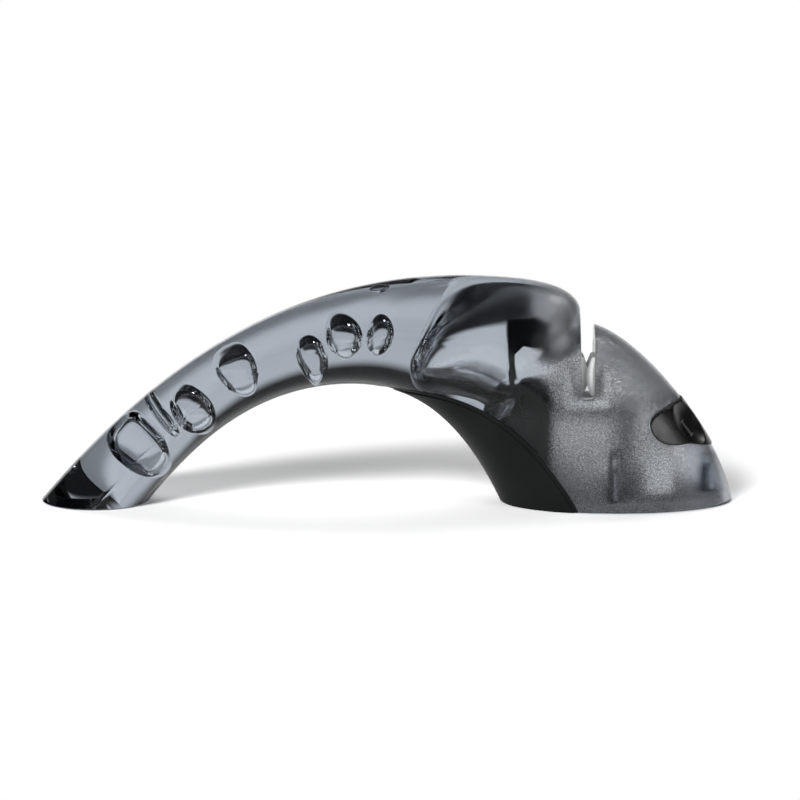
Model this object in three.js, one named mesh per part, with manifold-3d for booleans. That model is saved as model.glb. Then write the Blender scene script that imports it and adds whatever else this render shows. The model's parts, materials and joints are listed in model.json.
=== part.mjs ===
// A two-stage roller knife sharpener: a clear arch handle that runs into a hollow head.
// A see-saw cradle in the head carries a coarse and a fine V-roll below the knife slot,
// and a push-through selector in the nose lifts one roll or the other.
// Millimetres, +Z up, +X to the nose, Y across. The pads stand on Z = 0.
import * as THREE from "three";
import { mergeVertices } from "three/addons/utils/BufferGeometryUtils.js";
import Module from "manifold-3d";

const wasm = await Module();
wasm.setup();
const { Manifold, Mesh: SolidMesh } = wasm;

// Overall form
const LENGTH = 215;
const HEIGHT = 70.8;
const RIM = 0.4;
const TAIL_SOLE = 33.5;
const HEAD_SOLE = 72.4;
const ARCH_HEIGHT = 37.5;
const TAIL_HALF_WIDTH = 15.5;
const GRIP_HALF_WIDTH = 13;
const CROWN_HALF_WIDTH = 14.8;
const HEAD_HALF_WIDTH = 21;

// Walls and fits
const WALL = 2.4;
const GAP = 0.3;
const FIT = 0.2;

// Hollow of the head: its round end, ceiling, wedge behind the slot, shoulders and floor
const DOME_DEPTH = 10.5;
const CEILING = 2.6;
const SLOT_BLOCK = 3;
const SHOULDER = 0.35;
const HOLLOW_FLOOR = 1.6;
const COVER_TIP = 9.5;

// Tab of the cover, with an arm that runs forward to the slot
const TAB = 2;
const TAB_HALF_WIDTH = 7;
const TAB_DROP = 11.3;
const ARM_DEPTH = 9;
const ARM_FALL = 5.5;
const ARM_END_DEPTH = 6.5;
const ARM_GAP = 3.2;

// Knife slot, set back from the nose
const SLOT_SETBACK = 45.5;
const SLOT_TOP_WIDTH = 4.7;
const SLOT_WAIST_WIDTH = 4.3;
const SLOT_FOOT_WIDTH = 3.6;
const SLOT_FOOT_CORNER = 0.8;
const SLOT_FOOT_RISE = 1.5;

// Base plate, bearings, screws and pads
const PLATE = 2.6;
const POST_HALF_WIDTH = 5;
const REAR_BLOCK = 12;
const REAR_BLOCK_CORNER = 4;
const BACK_SCREW_SETBACK = 4;
const FRONT_POST = 4.4;
const POST_HEAD = 9;
const SHAFT_SEAT = 5;
const SCREW_RADIUS = 1.3;
const SCREW_HEAD_RADIUS = 2.4;
const SCREW_HEAD = 1.3;
const SCREW_GRIP = 8;
const BOSS_RADIUS = 2.9;
const BOSS_TAPER = 0.75;
const NOSE_BOSS_SETBACK = 8.4;
const NOSE_BOSS_TOP = 15;
const SIDE_BOSS_TOP = 19;
const SIDE_BOSS_INSET = 6.6;
const WEB = 2;
const PAD_RADIUS = 4.2;
const PAD_RECESS = 1;
const PAD_SPREAD = 9;
const REAR_PAD = 18.4;
const FRONT_PAD_SETBACK = 18.5;
const TAIL_PAD_SETBACK = 11.5;
const TAIL_PAD_HALF_LENGTH = 7.8;
const TAIL_PAD_INSET = 6.5;
const TAIL_PAD_RECESS = 1.6;

// V-rolls, hung below the crown
const ROLL_DROP = 30.9;
const ROLL_Y = 7;
const ROLL_RADIUS = 6;
const ROOT_RADIUS = 2.6;
const RIM_LAND = 1.1;
const ROLL_ROOM = 0.6;
const GROOVE_HALF_ANGLE = THREE.MathUtils.degToRad(22);
const ROLL_SKEW = THREE.MathUtils.degToRad(12);
const AXLE_RADIUS = 1.2;

// See-saw cradle
const ROLL_RISE = 11.4;
const SHAFT_RADIUS = 1.5;
const TRAVEL = 3;
const FINGER_Z = 11.5;
const FINGER_RADIUS = 1.5;
const CHEEK = 2;
const CRADLE_HALF_LENGTH = 6.8;
const CRADLE_PLAY = 3.2;

// Selector
const BUTTON_LENGTH = 26.7;
const BUTTON_FOOT = 20.6;
const BUTTON_HEAD = 33.2;
const BUTTON_WALL = 5;
const BUTTON_PROUD = 0.5;
const DISH_RADIUS = 15;
const DISH_DEPTH = 1;
const DISH_SETBACK = 15.5;
const DISH_SPREAD = 7.2;
const SLIDE_LENGTH = 8.2;
const SLIDE_HALF_WIDTH = 8;
const SPRING_THICKNESS = 0.4;
const SPRING_HUMP = 0.9;
const BUTTON_SCREW_RADIUS = 0.9;
const BUTTON_SCREW_GRIP = 2.6;

const TAIL_TIP = -LENGTH / 2;
const NOSE_TIP = LENGTH / 2;
const HEEL = TAIL_TIP + TAIL_SOLE;
const HEAD_BACK = NOSE_TIP - HEAD_SOLE;
const CROWN_X = NOSE_TIP - 84.5;
const ARCH_X = -11;
const PLATE_TOP = RIM + PLATE;
const SLOT_X = NOSE_TIP - SLOT_SETBACK;
const ROLL_Z = HEIGHT - ROLL_DROP;
const SLOT_FOOT = ROLL_Z - ROLL_RADIUS + SLOT_FOOT_RISE;
const ROLL_BEVEL = (ROLL_RADIUS - ROOT_RADIUS) * Math.tan(GROOVE_HALF_ANGLE);
const ROLL_HALF_LENGTH = FIT / 2 + ROLL_BEVEL + RIM_LAND + 0.3;
const PIVOT_Z = ROLL_Z - ROLL_RISE;
const TILT = Math.atan(TRAVEL / 2 / (PIVOT_Z - FINGER_Z));
const REAR_BLOCK_END = SLOT_X - CRADLE_HALF_LENGTH - CRADLE_PLAY;
const FRONT_POST_START = SLOT_X + CRADLE_HALF_LENGTH + CRADLE_PLAY;
const FRONT_POST_END = FRONT_POST_START + FRONT_POST;
const CLIP_START = FRONT_POST_END + FIT;
const SHAFT_END = CLIP_START + 2;
const SLIDE_START = SHAFT_END + 1.4;
const SLIDE_END = SLIDE_START + SLIDE_LENGTH;
const BUTTON_BACK = NOSE_TIP - BUTTON_LENGTH;
const SCREW_LINE = BUTTON_FOOT + 5;

const v2 = (x, y) => new THREE.Vector2(x, y);
const bezier = (a, b, c, d) => new THREE.CubicBezierCurve(a, b, c, d);

// Turns a three.js geometry into a solid that can be joined and cut.
function solid(geometry) {
  const bare = geometry.clone();
  bare.deleteAttribute("normal");
  bare.deleteAttribute("uv");
  const merged = mergeVertices(bare, 1e-4);
  const vertProperties = new Float32Array(merged.attributes.position.array);
  const triVerts = new Uint32Array(merged.index.array);
  return new Manifold(new SolidMesh({ numProp: 3, vertProperties, triVerts }));
}

// Turns a solid back into a named mesh with its own material.
function part(name, body, color, roughness, metalness = 0) {
  const { vertProperties, triVerts } = body.getMesh();
  const geometry = new THREE.BufferGeometry();
  geometry.setAttribute("position", new THREE.BufferAttribute(vertProperties, 3));
  geometry.setIndex(new THREE.BufferAttribute(triVerts, 1));
  geometry.computeVertexNormals();
  const material = new THREE.MeshStandardMaterial({ color, roughness, metalness });
  const mesh = new THREE.Mesh(geometry, material);
  mesh.name = name;
  return mesh;
}

function box(x0, x1, y0, y1, z0, z1) {
  const geometry = new THREE.BoxGeometry(x1 - x0, y1 - y0, z1 - z0);
  return solid(geometry.translate((x0 + x1) / 2, (y0 + y1) / 2, (z0 + z1) / 2));
}

function rodZ(x, y, radius, z0, z1, sides = 16) {
  const geometry = new THREE.CylinderGeometry(radius, radius, z1 - z0, sides);
  return solid(geometry.rotateX(Math.PI / 2).translate(x, y, (z0 + z1) / 2));
}

function rodX(y, z, radius, x0, x1, sides = 16) {
  const geometry = new THREE.CylinderGeometry(radius, radius, x1 - x0, sides);
  return solid(geometry.rotateZ(Math.PI / 2).translate((x0 + x1) / 2, y, z));
}

// Extrudes an outline drawn in X and Z across the object, between two values of Y.
function prism(shape, y0, y1, curveSegments = 10) {
  const options = { depth: y1 - y0, bevelEnabled: false, curveSegments };
  const geometry = new THREE.ExtrudeGeometry(shape, options);
  return solid(geometry.rotateX(Math.PI / 2).translate(0, y1, 0));
}

// Joins rings of equal length into one closed body with flat ends, facing outward.
function loft(rings) {
  const count = rings[0].length;
  const points = rings.flat();
  const index = [];
  for (let r = 0; r + 1 < rings.length; r += 1) {
    for (let i = 0; i < count; i += 1) {
      const a = r * count + i;
      const b = r * count + ((i + 1) % count);
      index.push(a, a + count, b, b, a + count, b + count);
    }
  }
  const last = (rings.length - 1) * count;
  for (let i = 1; i + 1 < count; i += 1) {
    index.push(0, i, i + 1, last, last + i + 1, last + i);
  }
  const geometry = new THREE.BufferGeometry().setFromPoints(points);
  geometry.setIndex(index);
  return solid(geometry);
}

// The outer line of the side view: tail to crown, crown to slot, slot to nose.
function outerLine() {
  const crown = v2(CROWN_X, HEIGHT);
  const tip = v2(TAIL_TIP, RIM);
  const slotLeft = v2(SLOT_X - 1.7, HEIGHT - 11.8);
  const slotRight = v2(SLOT_X + 1.5, HEIGHT - 15.2);
  const path = new THREE.CurvePath();
  path.add(bezier(tip, v2(TAIL_TIP + 28.9, RIM + 34.5), v2(crown.x - 60, HEIGHT), crown));
  path.add(bezier(crown, v2(crown.x + 24, HEIGHT), v2(slotLeft.x - 0.8, HEIGHT - 3.3), slotLeft));
  path.add(new THREE.LineCurve(slotLeft, slotRight));
  const nose = v2(NOSE_TIP, RIM);
  path.add(bezier(slotRight, v2(slotRight.x + 14.7, slotRight.y - 3.1), v2(NOSE_TIP - 3.8, 21.7), nose));
  return path;
}

// The inner line of the side view: heel, finger arch, back of the head.
function innerLine() {
  const top = v2(ARCH_X, ARCH_HEIGHT);
  const path = new THREE.CurvePath();
  path.add(bezier(v2(HEEL, RIM), v2(HEEL + 14.2, RIM + 18.1), v2(top.x - 29, top.y), top));
  const back = v2(HEAD_BACK, RIM);
  path.add(bezier(top, v2(top.x + 19, top.y), v2(HEAD_BACK - 12.7, 27.2), back));
  return path;
}

// The seam between the clear shell and the black cover, on the side of the head.
function seamLine(shift) {
  const foot = v2(SLOT_X - 2.7 - shift, RIM - 5);
  const rise = v2(foot.x, RIM);
  const tip = v2(ARCH_X + 7, ARCH_HEIGHT - 0.1 - shift);
  const shape = new THREE.Shape();
  shape.moveTo(tip.x, tip.y);
  const over = v2(tip.x + 28, ARCH_HEIGHT + 1 - shift);
  const down = v2(rise.x - 17.5, ARCH_HEIGHT - 6 - shift);
  shape.bezierCurveTo(over.x, over.y, down.x, down.y, rise.x, rise.y);
  shape.lineTo(foot.x, foot.y);
  shape.lineTo(tip.x, foot.y);
  shape.closePath();
  return shape;
}

// The cover's side of the seam, cut blunt where it would run out to nothing under the arch.
function seamSolid(shift) {
  const side = prism(seamLine(shift), -60, 60, 24);
  return side.trimByPlane([1, 0, 0], ARCH_X + COVER_TIP + shift);
}

// Sections of the body fan out from a point on the ground inside the arch.
const FAN = v2(ARCH_X - 7, RIM);
const OUTER = outerLine().getSpacedPoints(600);
const INNER = innerLine().getSpacedPoints(400);

// Where the fan's ray at one angle meets a line of points, as a distance from the fan's point.
function reach(points, angle) {
  const angleOf = (p) => Math.atan2(Math.max(p.y - FAN.y, 0), p.x - FAN.x);
  for (let i = 0; i + 1 < points.length; i += 1) {
    const a = angleOf(points[i]);
    const b = angleOf(points[i + 1]);
    if (a >= angle && b <= angle && a > b) {
      const along = (a - angle) / (a - b);
      return points[i].clone().lerp(points[i + 1], along).distanceTo(FAN);
    }
  }
  throw new Error("the fan misses the outline");
}

// Half-width of the body on each ray, from the tail at half a turn to the nose at none.
function halfWidth(angle) {
  const stops = [
    [Math.PI, TAIL_HALF_WIDTH],
    [Math.PI * 0.8, GRIP_HALF_WIDTH],
    [Math.PI * 0.5, CROWN_HALF_WIDTH],
    [0, HEAD_HALF_WIDTH],
  ];
  const i = Math.max(1, stops.findIndex((stop) => stop[0] <= angle));
  const [from, a] = stops[i - 1];
  const [to, b] = stops[i];
  const along = THREE.MathUtils.smoothstep((from - angle) / (from - to), 0, 1);
  return THREE.MathUtils.lerp(a, b, along);
}

// One oval section on a ray, drawn in from the body's surface by an inset. The hollow is drawn in
// further below and above, and its upper corners are rounder by a shoulder.
function section(angle, inset, points, below = 0, above = 0, shoulder = 0) {
  const near = reach(INNER, angle) + inset + below;
  const far = reach(OUTER, angle) - inset - above;
  const width = halfWidth(angle) - inset;
  const power = 2 / THREE.MathUtils.lerp(2.05, 2.5, Math.sin(angle));
  const ring = [];
  for (let i = 0; i < points; i += 1) {
    const turn = (i / points) * Math.PI * 2;
    const c = Math.cos(turn);
    const s = Math.sin(turn);
    const bend = power + shoulder * Math.max(c, 0);
    const radius = (near + far) / 2 + Math.sign(c) * Math.abs(c) ** bend * ((far - near) / 2);
    const y = Math.sign(s) * Math.abs(s) ** bend * width;
    ring.push(
      new THREE.Vector3(FAN.x + radius * Math.cos(angle), y, FAN.y + radius * Math.sin(angle)),
    );
  }
  return ring;
}

// The body between two angles of the fan; a drop carries the last section below the rim.
function bodyForm(from, to, steps, inset, drop = 0, points = 28) {
  const rings = [];
  for (let i = 0; i <= steps; i += 1) {
    rings.push(section(THREE.MathUtils.lerp(from, to, i / steps), inset, points));
  }
  if (drop > 0) {
    rings.push(rings[steps].map((p) => p.clone().setZ(p.z - drop)));
  }
  return loft(rings);
}

const CAVITY_ANGLE = THREE.MathUtils.degToRad(61);
const DOME = THREE.MathUtils.degToRad(15);
const SLOT_SPREAD = THREE.MathUtils.degToRad(3);
const SLOT_ANGLE = Math.atan2(HEIGHT - 11.2 - FAN.y, SLOT_X - FAN.x);
const BLOCK_ANGLE = Math.atan2(PIVOT_Z + 3 - FAN.y, REAR_BLOCK_END - REAR_BLOCK - 2 - FAN.x);
const SEAM = seamLine(0).getPoints(60);

// The angles of the hollow's sections, closer together at its round end and behind the slot.
function hollowAngles() {
  const angles = [];
  for (let i = 0; i < 7; i += 1) {
    angles.push(CAVITY_ANGLE - DOME * (1 - Math.cos((i / 7) * (Math.PI / 2))));
  }
  const stops = [CAVITY_ANGLE - DOME, SLOT_ANGLE + SLOT_SPREAD * 2, SLOT_ANGLE - SLOT_SPREAD * 2, 0];
  const counts = [2, 8, 9];
  counts.forEach((count, k) => {
    for (let i = 0; i < count; i += 1) {
      angles.push(THREE.MathUtils.lerp(stops[k], stops[k + 1], i / count));
    }
  });
  return angles.concat(0);
}

// The hollow of the head: round toward the handle, thick above, most of all behind the slot,
// and closed over the cover as far as the bearing block.
function hollowForm(extra = 0) {
  const smooth = (angle, a, b) => THREE.MathUtils.smoothstep(THREE.MathUtils.radToDeg(angle), a, b);
  const blockDegrees = THREE.MathUtils.radToDeg(BLOCK_ANGLE);
  const rings = hollowAngles().map((angle) => {
    const fromEnd = Math.min((CAVITY_ANGLE - angle) / DOME, 1);
    const shrink = DOME_DEPTH * (1 - Math.sqrt(1 - (1 - fromEnd) ** 2));
    const wedge = SLOT_BLOCK * Math.exp(-(((angle - SLOT_ANGLE) / SLOT_SPREAD) ** 2));
    const above = CEILING * smooth(angle, 4, 18) + wedge;
    const closed = smooth(angle, blockDegrees - 2, blockDegrees + 4);
    const cover = closed > 0 ? reach(SEAM, angle) - reach(INNER, angle) : 0;
    const below = closed * Math.max(cover + HOLLOW_FLOOR - WALL, 0);
    const shoulder = SHOULDER * smooth(angle, 30, 38);
    return section(angle, WALL + extra + shrink, 28, below, above, shoulder);
  });
  rings.push(rings[rings.length - 1].map((p) => p.clone().setZ(p.z - 6)));
  return loft(rings);
}

const form = bodyForm(Math.PI, 0, 50, 0);
const cavity = hollowForm();

function slotShape() {
  const foot = SLOT_FOOT_WIDTH / 2;
  const r = SLOT_FOOT_CORNER;
  const waist = SLOT_WAIST_WIDTH / 2;
  const waistZ = ROLL_Z + ROLL_RADIUS + 1;
  const top = SLOT_TOP_WIDTH / 2;
  const shape = new THREE.Shape();
  shape.moveTo(SLOT_X - top, HEIGHT);
  shape.lineTo(SLOT_X - waist, waistZ);
  shape.absarc(SLOT_X - foot + r, SLOT_FOOT + r, r, Math.PI, Math.PI * 1.5, false);
  shape.absarc(SLOT_X + foot - r, SLOT_FOOT + r, r, Math.PI * 1.5, Math.PI * 2, false);
  shape.lineTo(SLOT_X + waist, waistZ);
  shape.lineTo(SLOT_X + top, HEIGHT);
  shape.closePath();
  return shape;
}

// The opening of the button in the side view; an inset makes the button that fills it.
function buttonShape(inset) {
  const left = BUTTON_BACK + inset;
  const foot = BUTTON_FOOT + inset;
  const head = BUTTON_HEAD - inset;
  const middle = (BUTTON_FOOT + BUTTON_HEAD) / 2 + 0.5;
  const shape = new THREE.Shape();
  shape.moveTo(left, middle);
  shape.bezierCurveTo(left, middle + 2.8, left + 5, head - 0.6, left + 10, head);
  shape.lineTo(NOSE_TIP, head + 9);
  shape.lineTo(NOSE_TIP, foot - 4.4);
  shape.lineTo(left + 12.4, foot);
  shape.lineTo(left + 8, foot);
  shape.bezierCurveTo(left + 4, foot, left, middle - 3.2, left, middle);
  return shape;
}

// Screws come up through the base plate: nose, both sides, and the back into the cover.
const NOSE_BOSS = v2(NOSE_TIP - NOSE_BOSS_SETBACK, 0);
const SIDE_BOSS_Y = HEAD_HALF_WIDTH - SIDE_BOSS_INSET;
const SIDE_BOSSES = [-1, 1].map((side) => v2(SLOT_X + 8.4, side * SIDE_BOSS_Y));
const BACK_SCREW = v2(REAR_BLOCK_END - BACK_SCREW_SETBACK, 0);
const SCREWS = [NOSE_BOSS, ...SIDE_BOSSES, BACK_SCREW];
const PADS = [HEAD_BACK + REAR_PAD, NOSE_TIP - FRONT_PAD_SETBACK].flatMap((x) =>
  [-1, 1].map((side) => v2(x, side * PAD_SPREAD)),
);
const BORE = SCREW_RADIUS + FIT;
const BOSS_FOOT = PLATE_TOP + GAP;
const SPRING_SEAT = PLATE_TOP + GAP;
const SPRING_SCREW = v2((SLIDE_START + SLIDE_END) / 2, SLIDE_HALF_WIDTH + 4.4);
const SPRING_SCREW_RADIUS = 0.8;

// A tapered boss with a web that reaches the wall, trimmed to the form of the body.
function boss(at, top, web) {
  const cone = new THREE.CylinderGeometry(BOSS_RADIUS * BOSS_TAPER, BOSS_RADIUS, top - BOSS_FOOT, 20);
  const post = solid(cone.rotateX(Math.PI / 2).translate(at.x, at.y, (top + BOSS_FOOT) / 2));
  const bore = rodZ(at.x, at.y, BORE, BOSS_FOOT - 1, BOSS_FOOT + SCREW_GRIP + 0.6);
  return post.add(web).intersect(form).subtract(bore);
}

// Room that the shell leaves round the rolls at both ends of the see-saw.
function rollRooms() {
  const radius = ROLL_RADIUS + ROLL_ROOM;
  const length = (ROLL_HALF_LENGTH + ROLL_ROOM) * 2;
  const rooms = [];
  for (const tilt of [-TILT, TILT]) {
    for (const side of [-1, 1]) {
      const room = new THREE.CylinderGeometry(radius, radius, length, 24);
      room.rotateZ(Math.PI / 2).rotateZ(-ROLL_SKEW).translate(0, side * ROLL_Y, ROLL_RISE);
      rooms.push(solid(room.rotateX(tilt).translate(SLOT_X, 0, PIVOT_Z)));
    }
  }
  return Manifold.union(rooms);
}

function bodyShell() {
  const noseWeb = box(NOSE_BOSS.x, NOSE_TIP, -WEB / 2, WEB / 2, BOSS_FOOT, NOSE_BOSS_TOP);
  let shell = form.subtract(cavity).add(boss(NOSE_BOSS, NOSE_BOSS_TOP, noseWeb));
  for (const at of SIDE_BOSSES) {
    const out = Math.sign(at.y) * HEAD_HALF_WIDTH;
    const y0 = Math.min(at.y, out);
    const y1 = Math.max(at.y, out);
    const web = box(at.x - WEB / 2, at.x + WEB / 2, y0, y1, BOSS_FOOT, SIDE_BOSS_TOP);
    shell = shell.add(boss(at, SIDE_BOSS_TOP, web));
  }
  return shell
    .subtract(seamSolid(0))
    .subtract(prism(slotShape(), -60, 60, 6))
    .subtract(rollRooms())
    .subtract(prism(buttonShape(0), -60, 60))
    .subtract(tailPad(FIT, 4));
}

// The rear bearing of the see-saw, in the side view: an upright block with round shoulders.
function rearBlock() {
  const x0 = REAR_BLOCK_END - REAR_BLOCK;
  const x1 = REAR_BLOCK_END;
  const top = PIVOT_Z + POST_HEAD;
  const r = REAR_BLOCK_CORNER;
  const shape = new THREE.Shape();
  shape.moveTo(x0, BOSS_FOOT);
  shape.lineTo(x1, BOSS_FOOT);
  shape.absarc(x1 - r, top - r, r, 0, Math.PI / 2, false);
  shape.absarc(x0 + r, top - r, r, Math.PI / 2, Math.PI, false);
  return prism(shape, -POST_HALF_WIDTH, POST_HALF_WIDTH, 6);
}

// Tab of the cover in the side view: it rises from the bearing block, and its arm lies under the
// ceiling of the hollow with a gap all round.
function coverTab() {
  const x = REAR_BLOCK_END - REAR_BLOCK - TAB - 0.6;
  const foot = PIVOT_Z - 4.5;
  const top = HEIGHT - TAB_DROP;
  const end = SLOT_X - SLOT_TOP_WIDTH / 2 - ARM_GAP;
  const root = top - ARM_DEPTH;
  const shape = new THREE.Shape();
  shape.moveTo(x, foot);
  shape.lineTo(x + TAB + 2, foot);
  shape.lineTo(x + TAB + 2, foot + 8);
  shape.lineTo(x + TAB, foot + 10);
  shape.lineTo(x + TAB, root - 3);
  shape.lineTo(x + TAB + 3, root);
  shape.lineTo(end, top - ARM_FALL - ARM_END_DEPTH);
  shape.lineTo(end, top - ARM_FALL);
  shape.lineTo(x + 9, top);
  shape.lineTo(x, top);
  shape.closePath();
  const tab = prism(shape, -TAB_HALF_WIDTH, TAB_HALF_WIDTH);
  const low = tab.trimByPlane([0, 0, -1], 6 - root);
  const high = tab.trimByPlane([0, 0, 1], root - 6).intersect(hollowForm(GAP));
  return low.add(high);
}

// Black cover on the arch side of the head. Its web carries the rear bearing block and the tab.
function innerCover() {
  const web = box(HEAD_BACK - 4, BACK_SCREW.x, -WEB, WEB, BOSS_FOOT, 16);
  const wall = form.subtract(cavity).intersect(seamSolid(GAP));
  return wall
    .add(web.add(rearBlock()).add(coverTab()).intersect(form))
    .subtract(rodZ(BACK_SCREW.x, BACK_SCREW.y, BORE, BOSS_FOOT - 1, BOSS_FOOT + SCREW_GRIP + 1))
    .subtract(
      rodX(0, PIVOT_Z, SHAFT_RADIUS + FIT, REAR_BLOCK_END - SHAFT_SEAT, REAR_BLOCK_END + 1),
    );
}

// Oval rubber sole let into the foot of the handle.
function tailPad(extra, drop) {
  const geometry = new THREE.CylinderGeometry(1, 1, 1, 32).rotateX(Math.PI / 2);
  const height = TAIL_PAD_RECESS + drop;
  const halfLength = TAIL_PAD_HALF_LENGTH + extra;
  const halfWide = TAIL_HALF_WIDTH - TAIL_PAD_INSET + extra;
  geometry.scale(halfLength, halfWide, height);
  const top = RIM + TAIL_PAD_RECESS + extra;
  return solid(geometry.translate(TAIL_TIP + TAIL_PAD_SETBACK, 0, top - height / 2));
}

function headPad(at, radius, z0, z1) {
  return rodZ(at.x, at.y, radius, z0, z1, 24);
}

// A flat upright post across the object with a round head and an open foot, for the pivot shaft.
function frontPost() {
  const x0 = FRONT_POST_START;
  const x1 = FRONT_POST_END;
  const window = POST_HALF_WIDTH - 1.6;
  return box(x0, x1, -POST_HALF_WIDTH, POST_HALF_WIDTH, RIM + 1, PIVOT_Z)
    .add(rodX(0, PIVOT_Z, POST_HALF_WIDTH, x0, x1, 24))
    .subtract(box(x0 - 1, x1 + 1, -window, window, PLATE_TOP, PIVOT_Z - 6))
    .subtract(rodX(0, PIVOT_Z, SHAFT_RADIUS + FIT, x0 - 1, x1 + 1));
}

function basePlate() {
  const floor = box(0, LENGTH, -HEAD_HALF_WIDTH, HEAD_HALF_WIDTH, RIM, PLATE_TOP);
  let plate = bodyForm(CAVITY_ANGLE, 0, 24, WALL + GAP, 1).intersect(floor);
  plate = plate.add(frontPost());
  const rail = 1.5;
  const railHalf = SLIDE_HALF_WIDTH + 1;
  for (const x of [SLIDE_START - GAP - rail, SLIDE_END + GAP]) {
    plate = plate.add(box(x, x + rail, -railHalf, railHalf, RIM + 1, PLATE_TOP + 4.4));
  }
  for (const at of SCREWS) {
    plate = plate.subtract(rodZ(at.x, at.y, BORE, 0, PLATE_TOP + 1));
    plate = plate.subtract(rodZ(at.x, at.y, SCREW_HEAD_RADIUS + GAP, 0, RIM + SCREW_HEAD + GAP));
  }
  const springBore = SPRING_SCREW_RADIUS + FIT;
  plate = plate.subtract(
    rodZ(SPRING_SCREW.x, SPRING_SCREW.y, springBore, RIM + 0.8, PLATE_TOP + 1),
  );
  for (const at of PADS) {
    plate = plate.subtract(headPad(at, PAD_RADIUS + GAP, RIM - 1, RIM + PAD_RECESS));
  }
  return plate;
}

// Countersunk-flush pan screw, head down, with a cross in its head.
function baseScrew(at) {
  const head = rodZ(at.x, at.y, SCREW_HEAD_RADIUS, RIM + FIT, RIM + FIT + SCREW_HEAD);
  const shank = rodZ(at.x, at.y, SCREW_RADIUS, RIM + FIT + 0.5, BOSS_FOOT + SCREW_GRIP);
  const bar = box(at.x - 1.5, at.x + 1.5, at.y - 0.35, at.y + 0.35, RIM, RIM + FIT + 0.6);
  const cross = box(at.x - 0.35, at.x + 0.35, at.y - 1.5, at.y + 1.5, RIM, RIM + FIT + 0.6);
  return head.add(shank).subtract(bar).subtract(cross);
}

// Bent strip that lies across the slide's channel, its hump in a notch of the slide.
function detentSpring() {
  const t = SPRING_THICKNESS;
  const shape = new THREE.Shape();
  const line = [
    [-SLIDE_HALF_WIDTH - 1, 0],
    [-1.6, 0],
    [-0.5, SPRING_HUMP],
    [0.5, SPRING_HUMP],
    [1.6, 0],
    [SPRING_SCREW.y + 2.6, 0],
  ];
  shape.moveTo(line[0][0], t);
  line.slice(1).forEach(([y, z]) => shape.lineTo(y, z + t));
  line.reverse().forEach(([y, z]) => shape.lineTo(y, z));
  const width = 4;
  const geometry = new THREE.ExtrudeGeometry(shape, { depth: width, bevelEnabled: false });
  geometry.rotateX(Math.PI / 2).rotateZ(Math.PI / 2);
  const strip = solid(geometry.translate(SPRING_SCREW.x - width / 2, 0, SPRING_SEAT));
  const bore = SPRING_SCREW_RADIUS + FIT;
  return strip.subtract(rodZ(SPRING_SCREW.x, SPRING_SCREW.y, bore, 0, SPRING_SEAT + 10));
}

function springScrew() {
  const seat = SPRING_SEAT + SPRING_THICKNESS + FIT;
  const head = rodZ(SPRING_SCREW.x, SPRING_SCREW.y, 1.8, seat, seat + 1.1);
  const shank = rodZ(SPRING_SCREW.x, SPRING_SCREW.y, SPRING_SCREW_RADIUS, RIM + 1.1, seat + 0.4);
  const slot = box(
    SPRING_SCREW.x - 2, SPRING_SCREW.x + 2,
    SPRING_SCREW.y - 0.3, SPRING_SCREW.y + 0.3,
    seat + 0.6, seat + 2,
  );
  return head.add(shank).subtract(slot);
}

// Ground pin of the see-saw, held by a ring clip outside the front post.
function pivotShaft() {
  return rodX(0, PIVOT_Z, SHAFT_RADIUS, REAR_BLOCK_END - SHAFT_SEAT + FIT, SHAFT_END);
}

function shaftClip() {
  const ring = rodX(0, PIVOT_Z, 3.1, CLIP_START, CLIP_START + 0.8, 24);
  const mouth = box(CLIP_START - 1, CLIP_START + 2, -1.2, 1.2, PIVOT_Z, PIVOT_Z + 5);
  const bore = rodX(0, PIVOT_Z, SHAFT_RADIUS + FIT, CLIP_START - 1, CLIP_START + 2);
  return ring.subtract(bore).subtract(mouth);
}

// The cradle is drawn level about its pivot and then tilted to the coarse roll.
function rollCradle() {
  const start = SLOT_X - CRADLE_HALF_LENGTH;
  const end = SLOT_X + CRADLE_HALF_LENGTH;
  const rise = ROLL_RISE;
  const lever = PIVOT_Z - FINGER_Z;
  const span = ROLL_Y + 4.2;
  const floorTop = rise - ROLL_RADIUS - 0.7;
  let cradle = box(start, end, -span, span, SHAFT_RADIUS + 0.6, floorTop);
  for (const x of [start, end - CHEEK]) {
    cradle = cradle.add(box(x, x + CHEEK, -span, span, SHAFT_RADIUS + 0.6, rise + 1.6));
    cradle = cradle.add(rodX(0, 0, SHAFT_RADIUS + 2.4, x, x + CHEEK, 24));
  }
  cradle = cradle.add(box(end - CHEEK, end, -3.9, 3.9, -lever - 2.4, 0));
  const fork = FINGER_RADIUS + 0.4;
  cradle = cradle.subtract(box(end - CHEEK - 1, end + 1, -fork, fork, -lever - 5, -lever + 3));
  cradle = cradle.subtract(rodX(0, 0, SHAFT_RADIUS + FIT, start - 1, end + 1));
  for (const side of [-1, 1]) {
    const bore = new THREE.CylinderGeometry(AXLE_RADIUS + GAP, AXLE_RADIUS + GAP, 40, 20);
    bore.rotateZ(Math.PI / 2).rotateZ(-ROLL_SKEW).translate(SLOT_X, side * ROLL_Y, rise);
    const mouth = new THREE.BoxGeometry(40, AXLE_RADIUS * 1.8, 8);
    mouth.translate(0, 0, 4).rotateZ(-ROLL_SKEW).translate(SLOT_X, side * ROLL_Y, rise);
    cradle = cradle.subtract(solid(bore)).subtract(solid(mouth));
    const drain = box(SLOT_X - 1.5, SLOT_X + 1.5, side * 4 - 2, side * 4 + 2, 0, floorTop + 1);
    cradle = cradle.subtract(drain);
  }
  return cradle;
}

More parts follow.
